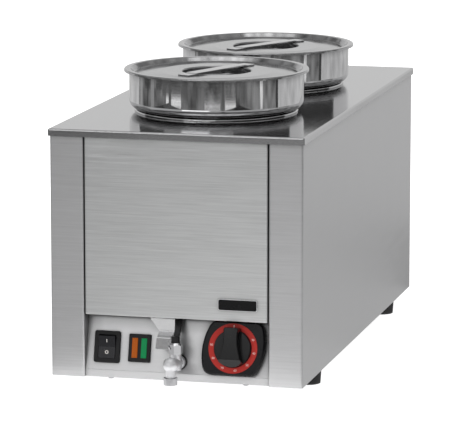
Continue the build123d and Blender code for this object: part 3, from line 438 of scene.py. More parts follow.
@dataclass(frozen=True)
class RibbedLens(Finish):
    """Coloured acrylic of a pilot lamp, moulded with upright ribs behind a clear glossy face."""

    rib_mm: float = 1.1
    rib_depth: float = 0.25
    rib_height: float = 0.1 * MM
    tone_swing: float = 0.18
    specular: float = 0.15

    def detail(self, shader: bpy.types.Node, place: bpy.types.NodeSocket) -> None:
        """Draw the ribs in the lens's tone and relief.

        Args:
            shader: The lens's shader.
            place: The place on it.
        """
        tree = shader.id_data
        ribs = add_node(
            tree,
            "TexWave",
            {"Vector": place, "Scale": WAVE_BAND * per_metre(self.rib_mm), "Distortion": 0.0, "Detail": 0.0},
            wave_type="BANDS",
            bands_direction="X",
            wave_profile="SIN",
        ).outputs["Fac"]
        relief = add_node(
            tree, "Bump", {"Height": ribs, "Strength": self.rib_depth, "Distance": self.rib_height}
        )
        fill_inputs(
            shader,
            {
                "Base Color": self.toned(ribs, (1.0 - self.tone_swing, 1.0 + self.tone_swing)),
                "Normal": relief.outputs[0],
                "Specular IOR Level": self.specular,
            },
        )


@dataclass(frozen=True)
class GlowingPaper(Finish):
    """White paper on a light table: lit from below, so that shadows on it stay faint."""

    glow: float = 0.8
    specular: float = 0.1

    def detail(self, shader: bpy.types.Node, place: bpy.types.NodeSocket) -> None:
        """Light the paper from below, the same all over.

        Args:
            shader: The paper's shader.
            place: The place on it.
        """
        light = {"Emission Color": linear_colour(WHITE), "Emission Strength": self.glow}
        fill_inputs(shader, {**light, "Specular IOR Level": self.specular})


class Workshop:
    """Dresses solids and adds new pieces that ride on the bodies."""

    def __init__(self, frame: Frame) -> None:
        """Keep the frame's nodes and joints."""
        self.nodes: Dict[str, bpy.types.Object] = frame["nodes"]
        self.joints: Dict[str, Dict[str, Any]] = {joint["name"]: joint for joint in frame["joints"]}

    def dress(self, nodes: Iterable[str], finish: Finish) -> None:
        """Give solids one finish.

        Args:
            nodes: Names of the solids.
            finish: Their finish.
        """
        material = finish.material()
        for name in nodes:
            solid = self.nodes[name]
            for slot in solid.material_slots:
                slot.material = material
            LOG.info("%s: %s", name, finish.name)

    def add(
        self, name: str, mesh: bmesh.types.BMesh, body: str, slot: str, finish: Finish
    ) -> bpy.types.Object:
        """Turn a finished bmesh into a piece that rides on a body.

        Args:
            name: Name of the piece.
            mesh: Its shape, in its place.
            body: The body that carries it.
            slot: The record's material slot. Not used.
            finish: Its finish.

        Returns:
            The new object.
        """
        piece = mesh_object(name, mesh, finish.material())
        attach(piece, body)
        LOG.info("%s: rides on %s", name, body)
        return piece

    def touch(self, node: str, start: Vector, way: Vector) -> Tuple[Vector, Vector]:
        """Find where a straight line first meets a solid.

        Args:
            node: Name of the solid.
            start: A point outside it.
            way: The direction to look in.

        Returns:
            The point that is met, and the surface's direction outwards there.
        """
        data = self.nodes[node].data
        faces = [list(face.vertices) for face in data.polygons]
        tree = BVHTree.FromPolygons([vertex.co for vertex in data.vertices], faces)
        point, normal, _, _ = tree.ray_cast(start, way)
        return point, normal


def surface_matrix(point: Vector, out: Vector) -> Matrix:
    """Frame on a surface: X to the right, Y up the surface, Z outwards.

    Args:
        point: Its origin.
        out: The direction outwards.

    Returns:
        The matrix from the surface's frame to the object's frame.
    """
    right = Vector((1.0, 0.0, 0.0))
    up = out.cross(right).normalized()
    right = up.cross(out).normalized()
    turn = Matrix((right, up, out)).transposed().to_4x4()
    return Matrix.Translation(point) @ turn


def add_lettering(mesh: bmesh.types.BMesh, words: str, height: float, raised: float, place: Matrix) -> None:
    """Add raised figures or signs to a bmesh.

    Args:
        mesh: The bmesh that takes them.
        words: The figures.
        height: Their size.
        raised: How far they stand out of the surface.
        place: The frame that they are centred on.
    """
    curve = bpy.data.curves.new("lettering", "FONT")
    curve.body = words
    curve.size = height
    curve.extrude = raised / 2
    curve.align_x = "CENTER"
    curve.align_y = "CENTER"
    holder = bpy.data.objects.new("lettering", curve)
    bpy.context.scene.collection.objects.link(holder)
    bpy.context.view_layer.update()
    flat = bpy.data.meshes.new_from_object(holder)
    flat.transform(place @ Matrix.Translation((0.0, 0.0, raised / 2)))
    mesh.from_mesh(flat)
    bpy.data.objects.remove(holder)
    bpy.data.curves.remove(curve)
    bpy.data.meshes.remove(flat)


@dataclass
class Casing:
    """The folded sheet body: sides with their pillars, front, control panel, back, base and feet."""

    shop: Workshop
    # Brushed stainless sheet: pale grey with fine level lines and smeared reflections.
    wall: BrushedSteel = BrushedSteel("brushed_stainless_wall", "#cacacb", 0.36, tone_swing=0.14)
    # The same sheet, a little paler, with lines that stand out more.
    front: BrushedSteel = BrushedSteel("brushed_stainless_front", "#d4d5d5", 0.36, tone_swing=0.22)
    # A smoother sheet, with hardly a line to be seen, with painted shade towards the edges round it.
    panel: BrushedSteel = BrushedSteel(
        "brushed_stainless_control_panel",
        "#c7c7c8",
        0.35,
        tone_swing=0.05,
        rough_swing=0.004,
        line_depth=0.02,
        crease_shade_reach=20.0 * MM,
    )
    # Moulded rubber: matt and nearly black.
    rubber: GrainyFinish = GrainyFinish("black_rubber_feet", "#1d1d1e", 0.7, grit_mm=0.8, grit_depth=0.3)
    # Bright steel: a soft glint on each head.
    screws: GrainyFinish = GrainyFinish(
        "bright_steel_screws", "#a8a8aa", 0.3, 1.0, grit_mm=0.5, grit_depth=0.08
    )
    head_radius: float = 3.3 * MM
    head_height: float = 2.2 * MM
    # Shares of the radius that is flat on top, and of the height that stands upright.
    head_flat: float = 0.55
    head_side: float = 0.35
    head_arc_steps: int = 6
    head_round_steps: int = 32
    # Angle from one head's cross to the next one's, in radians.
    head_turn: float = 0.9
    cross_length: float = 3.6 * MM
    cross_width: float = 0.9 * MM
    cross_depth: float = 1.1 * MM

    def dress(self) -> None:
        """Dress the sheets and the feet."""
        self.shop.dress(("side_panel_left", "side_panel_right", "back_panel", "base_plate"), self.wall)
        self.shop.dress(("front_panel",), self.front)
        self.shop.dress(("control_panel",), self.panel)
        self.shop.dress(("foot_screws", "foot_nuts"), self.screws)
        feet = [f"rubber_foot_{end}_{side}" for end in ("front", "rear") for side in ("left", "right")]
        self.shop.dress(feet, self.rubber)

    def pan_head(self) -> bmesh.types.BMesh:
        """Model one rounded screw head.

        Returns:
            The head, standing on the origin.
        """
        head = bmesh.new()
        flat = self.head_radius * self.head_flat
        side = self.head_height * self.head_side
        rim = [head.verts.new((self.head_radius, 0.0, 0.0))]
        for step in range(self.head_arc_steps + 1):
            angle = step / self.head_arc_steps * math.pi / 2
            across = flat + (self.head_radius - flat) * math.cos(angle)
            up = side + (self.head_height - side) * math.sin(angle)
            rim.append(head.verts.new((across, 0.0, up)))
        rim.append(head.verts.new((0.0, 0.0, self.head_height)))
        edges = [head.edges.new(pair) for pair in zip(rim, rim[1:])]
        bmesh.ops.spin(
            head,
            geom=edges,
            cent=(0, 0, 0),
            axis=(0, 0, 1),
            angle=2 * math.pi,
            steps=self.head_round_steps,
            use_merge=True,
        )
        bmesh.ops.remove_doubles(head, verts=head.verts, dist=SAME_POINT)
        bottom = [edge for edge in head.edges if edge.is_boundary]
        bmesh.ops.contextual_create(head, geom=bottom)
        bmesh.ops.recalc_face_normals(head, faces=head.faces)
        return head

    def cross_cutter(self) -> bmesh.types.BMesh:
        """Model the cross that is sunk into a screw head.

        Returns:
            The cross, with its floor inside the head.
        """
        cross = bmesh.new()
        size = Matrix.Diagonal((self.cross_length, self.cross_width, 2 * self.cross_depth, 1.0))
        lift = Matrix.Translation((0.0, 0.0, self.head_height))
        for turn in (0.0, math.pi / 2):
            bmesh.ops.create_cube(cross, size=1.0, matrix=lift @ Matrix.Rotation(turn, 4, "Z") @ size)
        return cross

    def sunk_head(self) -> bpy.types.Mesh:
        """Cut the cross into a screw head.

        Returns:
            The mesh of one head.
        """
        head = mesh_object("head", self.pan_head())
        cross = mesh_object("cross", self.cross_cutter())
        cut = head.modifiers.new("cross", "BOOLEAN")
        cut.operation = "DIFFERENCE"
        cut.solver = "EXACT"
        cut.use_self = True
        cut.object = cross
        bpy.context.view_layer.update()
        graph = bpy.context.evaluated_depsgraph_get()
        result = bpy.data.meshes.new_from_object(head.evaluated_get(graph))
        for holder in (head, cross):
            bpy.data.objects.remove(holder)
        return result

    def build_screw_heads(self) -> None:
        """Put recessed heads on the back screws and on the screws under the front edge."""
        one = self.sunk_head()
        low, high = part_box("back_screws")
        rows = (low.z + self.head_radius, (low.z + high.z) / 2, high.z - self.head_radius)
        sides = (low.x + self.head_radius, high.x - self.head_radius)
        seat = high.y - self.head_height
        turn_back = Matrix.Rotation(-math.pi / 2, 4, "X")
        places = [Matrix.Translation((x, seat, z)) @ turn_back for x in sides for z in rows]
        self.place_heads("back_screw_heads", "back_screws", one, places)
        low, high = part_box("panel_screws")
        sides = (low.x + self.head_radius, high.x - self.head_radius)
        turn_down = Matrix.Rotation(math.pi, 4, "X")
        seat = low.z + self.head_height
        middle = (low.y + high.y) / 2
        places = [Matrix.Translation((x, middle, seat)) @ turn_down for x in sides]
        self.place_heads("panel_screw_heads", "panel_screws", one, places)
        bpy.data.meshes.remove(one)

    def place_heads(self, name: str, node: str, one: bpy.types.Mesh, places: Sequence[Matrix]) -> None:
        """Make one piece of a row of screw heads.

        Args:
            name: Name of the piece.
            node: The solid that it stands for.
            one: The mesh of one head.
            places: Where each head sits. Each one is turned a little further than the last.
        """
        row = bmesh.new()
        for number, place in enumerate(places):
            copy = one.copy()
            copy.transform(place @ Matrix.Rotation(self.head_turn * number, 4, "Z"))
            row.from_mesh(copy)
            bpy.data.meshes.remove(copy)
        piece = self.shop.add(name, row, "casing", "steel_fasteners", self.screws)
        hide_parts(node)


@dataclass
class Badge:
    """The dark plate on the front panel, left plain, in a thin bright frame."""

    shop: Workshop
    # Enamelled plate: deep black with a weak, fairly sharp reflection.
    plate: GrainyFinish = GrainyFinish(
        "black_enamel_plate", "#0d0d0e", 0.25, grit_mm=1.5, grit_depth=0.02, specular=0.15
    )
    # Bright aluminium: a thin pale line round the plate.
    rim: GrainyFinish = GrainyFinish(
        "bright_aluminium_rim", "#e4e4e6", 0.3, 1.0, grit_mm=0.8, grit_depth=0.05
    )
    rim_width: float = 0.6 * MM
    rim_gap: float = 0.05 * MM
    rim_height: float = 0.1 * MM
    corner: float = 1.8 * MM
    corner_steps: int = 4

    def dress(self) -> None:
        """Dress the plate."""
        self.shop.dress(("badge_plate",), self.plate)

    def build_rim(self) -> None:
        """Stand a narrow frame on the front panel, close round the plate."""
        low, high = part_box("badge_plate")
        middle = (low + high) / 2
        rim = bmesh.new()
        past = self.rim_gap + self.rim_width
        size = Matrix.Diagonal((high.x - low.x + 2 * past, high.z - low.z + 2 * past, 1.0, 1.0))
        upright = Matrix.Translation((middle.x, high.y, middle.z)) @ Matrix.Rotation(math.pi / 2, 4, "X")
        bmesh.ops.create_grid(rim, x_segments=1, y_segments=1, size=0.5, matrix=upright @ size)
        bmesh.ops.bevel(
            rim,
            geom=rim.verts[:],
            offset=self.corner + past,
            affect="VERTICES",
            segments=self.corner_steps,
            profile=0.5,
            material=-1,
        )
        inset = bmesh.ops.inset_region(
            rim, faces=rim.faces[:], thickness=self.rim_width, use_boundary=True, use_even_offset=True
        )
        kept = set(inset["faces"])
        bmesh.ops.delete(rim, geom=[face for face in rim.faces if face not in kept], context="FACES")
        raised = bmesh.ops.extrude_face_region(rim, geom=rim.faces[:])
        moved = [part for part in raised["geom"] if isinstance(part, bmesh.types.BMVert)]
        front = low.y - high.y - self.rim_height
        bmesh.ops.translate(rim, verts=moved, vec=(0.0, front, 0.0))
        bmesh.ops.recalc_face_normals(rim, faces=rim.faces)
        self.shop.add("badge_rim", rim, "casing", "steel_fasteners", self.rim)


@dataclass
class Deck:
    """The top sheet with its collars, the water tank under it, and the lidded pots."""

    shop: Workshop
    # Finely brushed stainless sheet: nearly a mirror, with lines that run to the back.
    sheet: BrushedSteel = BrushedSteel(
        "brushed_stainless_deck",
        "#c0c0c1",
        0.11,
        grain=Grain.ALONG,
        line_mm=1.6,
        run_mm=90.0,
        rough_swing=0.015,
        smudge_rough=0.015,
        line_depth=0.01,
        crease_shade_reach=1.5 * MM,
    )
    # Drawn stainless sheet: satin grey.
    tank: BrushedSteel = BrushedSteel("drawn_stainless_tank", "#a9a9a9", 0.33)
    # Spun and polished stainless steel: a clear mirror.
    pot: SpunSteel = SpunSteel("polished_stainless_pot", "#d2d2d3", 0.045)
    # The same steel, pressed: a softer mirror, with painted shade in the recess under the strap.
    lid: SpunSteel = SpunSteel("polished_stainless_lid", "#b4b4b5", 0.14, painted_shade_radius=39.0 * MM)
    # Polished strip: bright, with short lines.
    strap: BrushedSteel = BrushedSteel(
        "polished_stainless_strap",
        "#dcdcdd",
        0.2,
        line_mm=0.9,
        run_mm=20.0,
        rough_swing=0.03,
        line_depth=0.03,
        crease_shade_reach=1.0 * MM,
    )

    def dress(self) -> None:
        """Dress the deck, the tank and each pot with its lid and strap."""
        self.shop.dress(("deck_plate",), self.sheet)
        self.shop.dress(("water_tank",), self.tank)
        for end in ("front", "rear"):
            low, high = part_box(f"pot_{end}")
            axis_y = (low.y + high.y) / 2
            for node, finish in ((f"pot_{end}", self.pot), (f"lid_{end}", self.lid)):
                self.shop.dress((node,), replace(finish, name=f"{finish.name}_{end}", axis_y=axis_y))
            self.shop.dress((f"lid_handle_{end}",), replace(self.strap, name=f"{self.strap.name}_{end}"))


@dataclass
class Controls:
    """Rocker switch, pilot lamp and thermostat dial on the tilted panel."""

    shop: Workshop
    # Moulded nylon: satin black.
    moulding: GrainyFinish = GrainyFinish(
        "black_nylon_moulding", "#161617", 0.42, grit_mm=0.5, grit_depth=0.2, specular=0.2
    )
    # A smoother moulding: black with a low gloss.
    bezel: GrainyFinish = GrainyFinish(
        "black_dial_moulding", "#101012", 0.26, grit_mm=0.5, grit_depth=0.12, specular=0.15
    )
    # Polished moulding: black with clear reflections.
    rocker: GrainyFinish = GrainyFinish(
        "glossy_black_rocker", "#17171a", 0.2, grit_mm=1.2, grit_depth=0.05, specular=0.3
    )
    # Pressed phenolic: deep black and glossy.
    knob: GrainyFinish = GrainyFinish(
        "black_phenolic_knob", "#0e0e0f", 0.2, grit_mm=0.6, grit_depth=0.06, specular=0.2
    )
    # Painted ring: an even, strong red.
    ring: GrainyFinish = GrainyFinish(
        "red_scale_ring", "#9c2620", 0.4, grit_mm=0.5, grit_depth=0.06, specular=0.15
    )
    # Ribbed acrylic: deep colour, unlit, with upright stripes.
    orange: RibbedLens = RibbedLens("orange_acrylic_lens", "#924608", 0.25)
    green: RibbedLens = RibbedLens("green_acrylic_lens", "#067240", 0.25)
    # Printing ink: matt and nearly white.
    print_white: GrainyFinish = GrainyFinish("white_pad_print", "#e8e4de", 0.5, grit_mm=0.4, grit_depth=0.05)
    # The same ink, thin enough for the red to tint it.
    print_faded: GrainyFinish = GrainyFinish("pale_scale_print", "#d9b9b2", 0.5, grit_mm=0.4, grit_depth=0.05)
    # Sunk mark: matt and black.
    dot_finish: GrainyFinish = GrainyFinish("dark_sunk_dot", "#0b0b0c", 0.55, grit_mm=0.4, grit_depth=0.1)
    figures: Tuple[str, ...] = ("30", "40", "50", "60", "70", "80", "90")
    # Angles of the figures, in degrees to the right of the dial's top.
    first_figure: float = 65.0
    figure_step: float = 35.3
    figure_height: float = 3.4 * MM
    # Width and height of the mark at the dial's top.
    start_mark: Span = (0.9 * MM, 2.6 * MM)
    raised: float = 0.12 * MM
    sign_height: float = 5.2 * MM
    sign_up: float = 6.3 * MM
    dot_up: float = 13.5 * MM
    dot_radius: float = 0.9 * MM
    # The dot's height as a share of its width, and its steps round and up.
    dot_flatness: float = 0.18
    dot_steps: Tuple[int, int] = (24, 10)
    # How far out of the panel the search for a control's surface starts.
    look_from: float = 60.0 * MM

    def panel_frame(self, joint: str) -> Matrix:
        """Frame on the tilted panel at a joint.

        Args:
            joint: Name of the joint.

        Returns:
            The frame's matrix, with X to the right, Y up the slope and Z out of the panel.
        """
        place = Vector(self.shop.joints[joint]["pos_m"])
        inwards = Vector(self.shop.joints["knob_turn"]["axis"]).normalized()
        return surface_matrix(place, -inwards)

    def dress(self) -> None:
        """Dress the mouldings, the lenses and the red ring."""
        self.shop.dress(("switch_housing", "lamp_housing"), self.moulding)
        self.shop.dress(("dial_bezel",), self.bezel)
        self.shop.dress(("switch_rocker",), self.rocker)
        self.shop.dress(("knob",), self.knob)
        self.shop.dress(("dial_ring",), self.ring)
        self.shop.dress(("lamp_lens_orange",), self.orange)
        self.shop.dress(("lamp_lens_green",), self.green)

    def build_figures(self) -> None:
        """Print the temperatures and the start mark on the red ring."""
        panel = self.panel_frame("knob_turn")
        ring = [panel.inverted() @ vertex.co for vertex in self.shop.nodes["dial_ring"].data.vertices]
        face = max(point.z for point in ring)
        spans = [point.xy.length for point in ring]
        middle = (min(spans) + max(spans)) / 2
        print_mesh = bmesh.new()
        for number, figure in enumerate(self.figures):
            angle = math.radians(self.first_figure + number * self.figure_step)
            place = Matrix.Translation((middle * math.sin(angle), middle * math.cos(angle), face))
            add_lettering(print_mesh, figure, self.figure_height, self.raised, panel @ place)
        width, height = self.start_mark
        size = Matrix.Diagonal((width, height, self.raised, 1.0))
        place = Matrix.Translation((0.0, middle + self.raised, face + self.raised / 2))
        bmesh.ops.create_cube(print_mesh, size=1.0, matrix=panel @ place @ size)
        self.shop.add("dial_figures", print_mesh, "casing", "pale_plastic", self.print_faded)

    def meet(self, joint: str, node: str, up: float) -> Matrix:
        """Find the surface of a control, a little up the panel's slope from its joint.

        Args:
            joint: The control's joint.
            node: The control's solid.
            up: How far up the slope.

        Returns:
            The frame on the surface that is met there.
        """
        panel = self.panel_frame(joint)
        out = panel.to_3x3() @ Vector((0.0, 0.0, 1.0))
        point, normal = self.shop.touch(node, panel @ Vector((0.0, up, self.look_from)), -out)
        return surface_matrix(point, normal)

    def build_rocker_signs(self) -> None:
        """Put the on and off signs on the two halves of the rocker."""
        signs = bmesh.new()
        for sign, up in (("I", self.sign_up), ("O", -self.sign_up)):
            place = self.meet("rocker_press", "switch_rocker", up)
            add_lettering(signs, sign, self.sign_height, self.raised, place)
        self.shop.add("rocker_signs", signs, "rocker", "pale_plastic", self.print_white)

    def build_knob_dot(self) -> None:
        """Set a small dark dot into the knob's grip, near its pointer end."""
        dot = bmesh.new()
        place = self.meet("knob_turn", "knob", self.dot_up)
        flat = Matrix.Diagonal((1.0, 1.0, self.dot_flatness, 1.0))
        around, upwards = self.dot_steps
        bmesh.ops.create_uvsphere(
            dot, u_segments=around, v_segments=upwards, radius=self.dot_radius, matrix=place @ flat
        )
        self.shop.add("knob_dot", dot, "dial_knob", "black_plastic", self.dot_finish)


@dataclass
class DrainTap:
    """The chromed drain tap with its black lever, and the sheet guard beside it."""

    shop: Workshop
    # Chrome over a rough casting: pale and satin.
    casting: GrainyFinish = GrainyFinish(
        "satin_chromed_casting", "#dcdcde", 0.5, 0.9, grit_mm=1.2, grit_depth=0.2, rough_swing=0.06
    )
    # Polished chrome: a small mirror with a slight ripple.
    chrome: GrainyFinish = GrainyFinish(
        "polished_chrome_nut", "#d4d4d6", 0.09, 1.0, grit_mm=2.4, grit_depth=0.4, rough_swing=0.04
    )
    # Blasted chrome: an even mid grey.
    spout: GrainyFinish = GrainyFinish(
        "blasted_chrome_nozzle", "#b2b2b4", 0.34, 1.0, grit_mm=0.9, grit_depth=0.3, tone_swing=0.1
    )
    # Turned brass: warm yellow with soft glints.
    brass: GrainyFinish = GrainyFinish("turned_brass", "#c8a45a", 0.3, 1.0, grit_mm=0.7, grit_depth=0.1)
    # Moulded lever: satin black.
    lever: GrainyFinish = GrainyFinish(
        "black_lever_moulding", "#19191a", 0.38, grit_mm=0.6, grit_depth=0.15, specular=0.25
    )
    # Moulded rubber: matt black.
    seal: GrainyFinish = GrainyFinish("black_rubber_seal", "#1b1b1c", 0.65, grit_mm=0.7, grit_depth=0.25)
    # Bent stainless strip: smooth, with a bright line along each bend.
    guard: BrushedSteel = BrushedSteel(
        "bent_stainless_guard",
        "#e2e2e3",
        0.24,
        line_mm=0.9,
        run_mm=25.0,
        tone_swing=0.04,
        rough_swing=0.004,
        line_depth=0.01,
        crease_shade_reach=2.5 * MM,
    )
    # Bright steel: a soft glint on each head.
    rivets: GrainyFinish = GrainyFinish(
        "bright_steel_rivets", "#a8a8aa", 0.3, 1.0, grit_mm=0.5, grit_depth=0.08
    )

    def dress(self) -> None:
        """Dress the tap, its lever and its guard."""
        self.shop.dress(("tap_body",), self.casting)
        self.shop.dress(("tap_bonnet",), self.chrome)
        self.shop.dress(("tap_nozzle",), self.spout)
        self.shop.dress(("tap_plug", "tap_lock_nut", "drain_union"), self.brass)
        self.shop.dress(("tap_lever",), self.lever)
        self.shop.dress(("tap_seal_ring",), self.seal)
        self.shop.dress(("lever_guard",), self.guard)
        self.shop.dress(("guard_rivets",), self.rivets)


@dataclass
class Inside:
    """Heater, thermostat, wiring and drain pipe inside the casing, and the cable gland in its back."""

    shop: Workshop
    # Annealed sheath: dark, dull and a little brown.
    sheath: GrainyFinish = GrainyFinish(
        "annealed_heater_sheath", "#4a4743", 0.5, 1.0, grit_mm=0.8, grit_depth=0.2
    )
    # Rolled strip: satin grey.
    strip: BrushedSteel = BrushedSteel("plain_steel_strip", "#a2a2a2", 0.35)
    # Plain steel: soft glints.
    bright: GrainyFinish = GrainyFinish(
        "plain_steel_fixings", "#a8a8aa", 0.32, 1.0, grit_mm=0.5, grit_depth=0.08
    )
    # Pressed phenolic: dull brown.
    phenolic: GrainyFinish = GrainyFinish("brown_phenolic_case", "#5d5244", 0.5, grit_mm=0.6, grit_depth=0.2)
    # Drawn brass: warm yellow brown.
    capillary: GrainyFinish = GrainyFinish(
        "capillary_brass", "#b78d52", 0.3, 1.0, grit_mm=0.7, grit_depth=0.1
    )
    # Moulded polyamide: milky white.
    pale: GrainyFinish = GrainyFinish("pale_polyamide_block", "#dcd9d0", 0.45, grit_mm=0.6, grit_depth=0.15)
    # Silicone sleeve: dull red.
    sleeve: GrainyFinish = GrainyFinish("red_silicone_sleeve", "#a8442f", 0.55, grit_mm=0.6, grit_depth=0.15)
    # Drawn stainless tube: satin grey.
    pipe: BrushedSteel = BrushedSteel("drawn_stainless_pipe", "#a9a9a9", 0.3)
    # Moulded polyamide: satin black.
    gland: GrainyFinish = GrainyFinish("black_polyamide_gland", "#202022", 0.45, grit_mm=0.6, grit_depth=0.2)

    def dress(self) -> None:
        """Dress each piece as what it is."""
        self.shop.dress(("heating_element",), self.sheath)
        self.shop.dress(("element_clamps",), self.strip)
        self.shop.dress(("clamp_studs", "clamp_nuts", "thermostat_screws", "thermostat_spindle"), self.bright)
        self.shop.dress(("thermostat_body", "thermal_cutout"), self.phenolic)
        self.shop.dress(("thermostat_bulb",), self.capillary)
        self.shop.dress(("terminal_block",), self.pale)
        self.shop.dress(("wiring_loom",), self.sleeve)
        self.shop.dress(("drain_pipe",), self.pipe)
        self.shop.dress(("cable_gland", "gland_nut"), self.gland)


@dataclass(frozen=True)
class Softbox:
    """One soft lamp of the studio, which no bright metal mirrors."""

    name: str
    place: Tuple[float, float, float]
    size: Span
    power: float
    aim: Tuple[float, float, float] = (0.0, 0.0, 0.2)

    def build(self) -> None:
        """Hang the lamp and turn it to the object."""
        light = bpy.data.lights.new(self.name, "AREA")
        light.shape = "RECTANGLE"
        light.size, light.size_y = self.size
        light.energy = self.power
        lamp = bpy.data.objects.new(self.name, light)
        lamp.location = self.place
        lamp.rotation_euler = (Vector(self.aim) - Vector(self.place)).to_track_quat("-Z", "Y").to_euler()
        lamp.visible_glossy = False
        bpy.context.scene.collection.objects.link(lamp)


@dataclass(frozen=True)
class Cloth:
    """A lit strip of cloth on an arc round the front pot, which only bright metal mirrors.

    The ends are in degrees to the right of the front. The reach and the heights are the distances of the two
    long edges from the pot's axis and from the floor. The light is even, or patchy by a share of its level.
    """

    ends: Span
    reach: Span
    heights: Span
    level: float
    patchy: float = 0.0
    patch_size: float = 0.4
    patch_low: float = 0.35
    patch_high: float = 0.65
    step_degrees: float = 3.0

    def build(self, name: str, centre: Vector) -> None:
        """Spread the cloth.

        Args:
            name: Its name.
            centre: The arc's centre on the floor.
        """
        shape = bmesh.new()
        corners = [shape.verts.new((0.0, -away, up)) for away, up in zip(self.reach, self.heights)]
        edge = shape.edges.new(corners)
        turn = Matrix.Rotation(math.radians(self.ends[0]), 3, "Z")
        bmesh.ops.rotate(shape, verts=corners, cent=(0, 0, 0), matrix=turn)
        degrees = self.ends[1] - self.ends[0]
        steps = max(2, round(degrees / self.step_degrees))
        bmesh.ops.spin(
            shape, geom=[edge], cent=(0, 0, 0), axis=(0, 0, 1), angle=math.radians(degrees), steps=steps
        )
        bmesh.ops.translate(shape, verts=shape.verts, vec=centre)
        cloth = mesh_object(name, shape, self.material(name))
        cloth.visible_camera = False
        cloth.visible_diffuse = False
        cloth.visible_shadow = False
        cloth.visible_transmission = False

    def material(self, name: str) -> bpy.types.Material:
        """Make the cloth's material, with soft patches in its light.

        Args:
            name: The material's name.

        Returns:
            The material.
        """
        material = bpy.data.materials.new(name)
        tree = bare_tree(material)
        place = add_node(tree, "TexCoord").outputs["Object"]
        patches = add_node(
            tree,
            "TexNoise",
            {"Vector": place, "Scale": 1.0 / self.patch_size, "Detail": 3.0, "Roughness": 0.6},
        )
        light = add_node(
            tree,
            "MapRange",
            {
                "Value": patches.outputs[0],
                "From Min": self.patch_low,
                "From Max": self.patch_high,
                "To Min": self.level * (1.0 - self.patchy),
                "To Max": self.level * (1.0 + self.patchy),
            },
        )
        glow = add_node(tree, "Emission", {"Strength": light.outputs[0]})
        add_node(tree, "OutputMaterial", {"Surface": glow.outputs[0]})
        return material


# Heights of cloths that lie on the floor, in thin layers, and of those that hang overhead.
LAID: Span = (0.002, 0.002)
SECOND: Span = (0.003, 0.003)
THIRD: Span = (0.005, 0.005)
TOP: Span = (0.006, 0.006)
CEILING: Span = (3.0, 3.0)
UNDER_CEILING: Span = (2.98, 2.98)
# Distances of cloths that stand upright.
WALL: Span = (3.3, 3.3)
SKIRTING: Span = (3.27, 3.27)


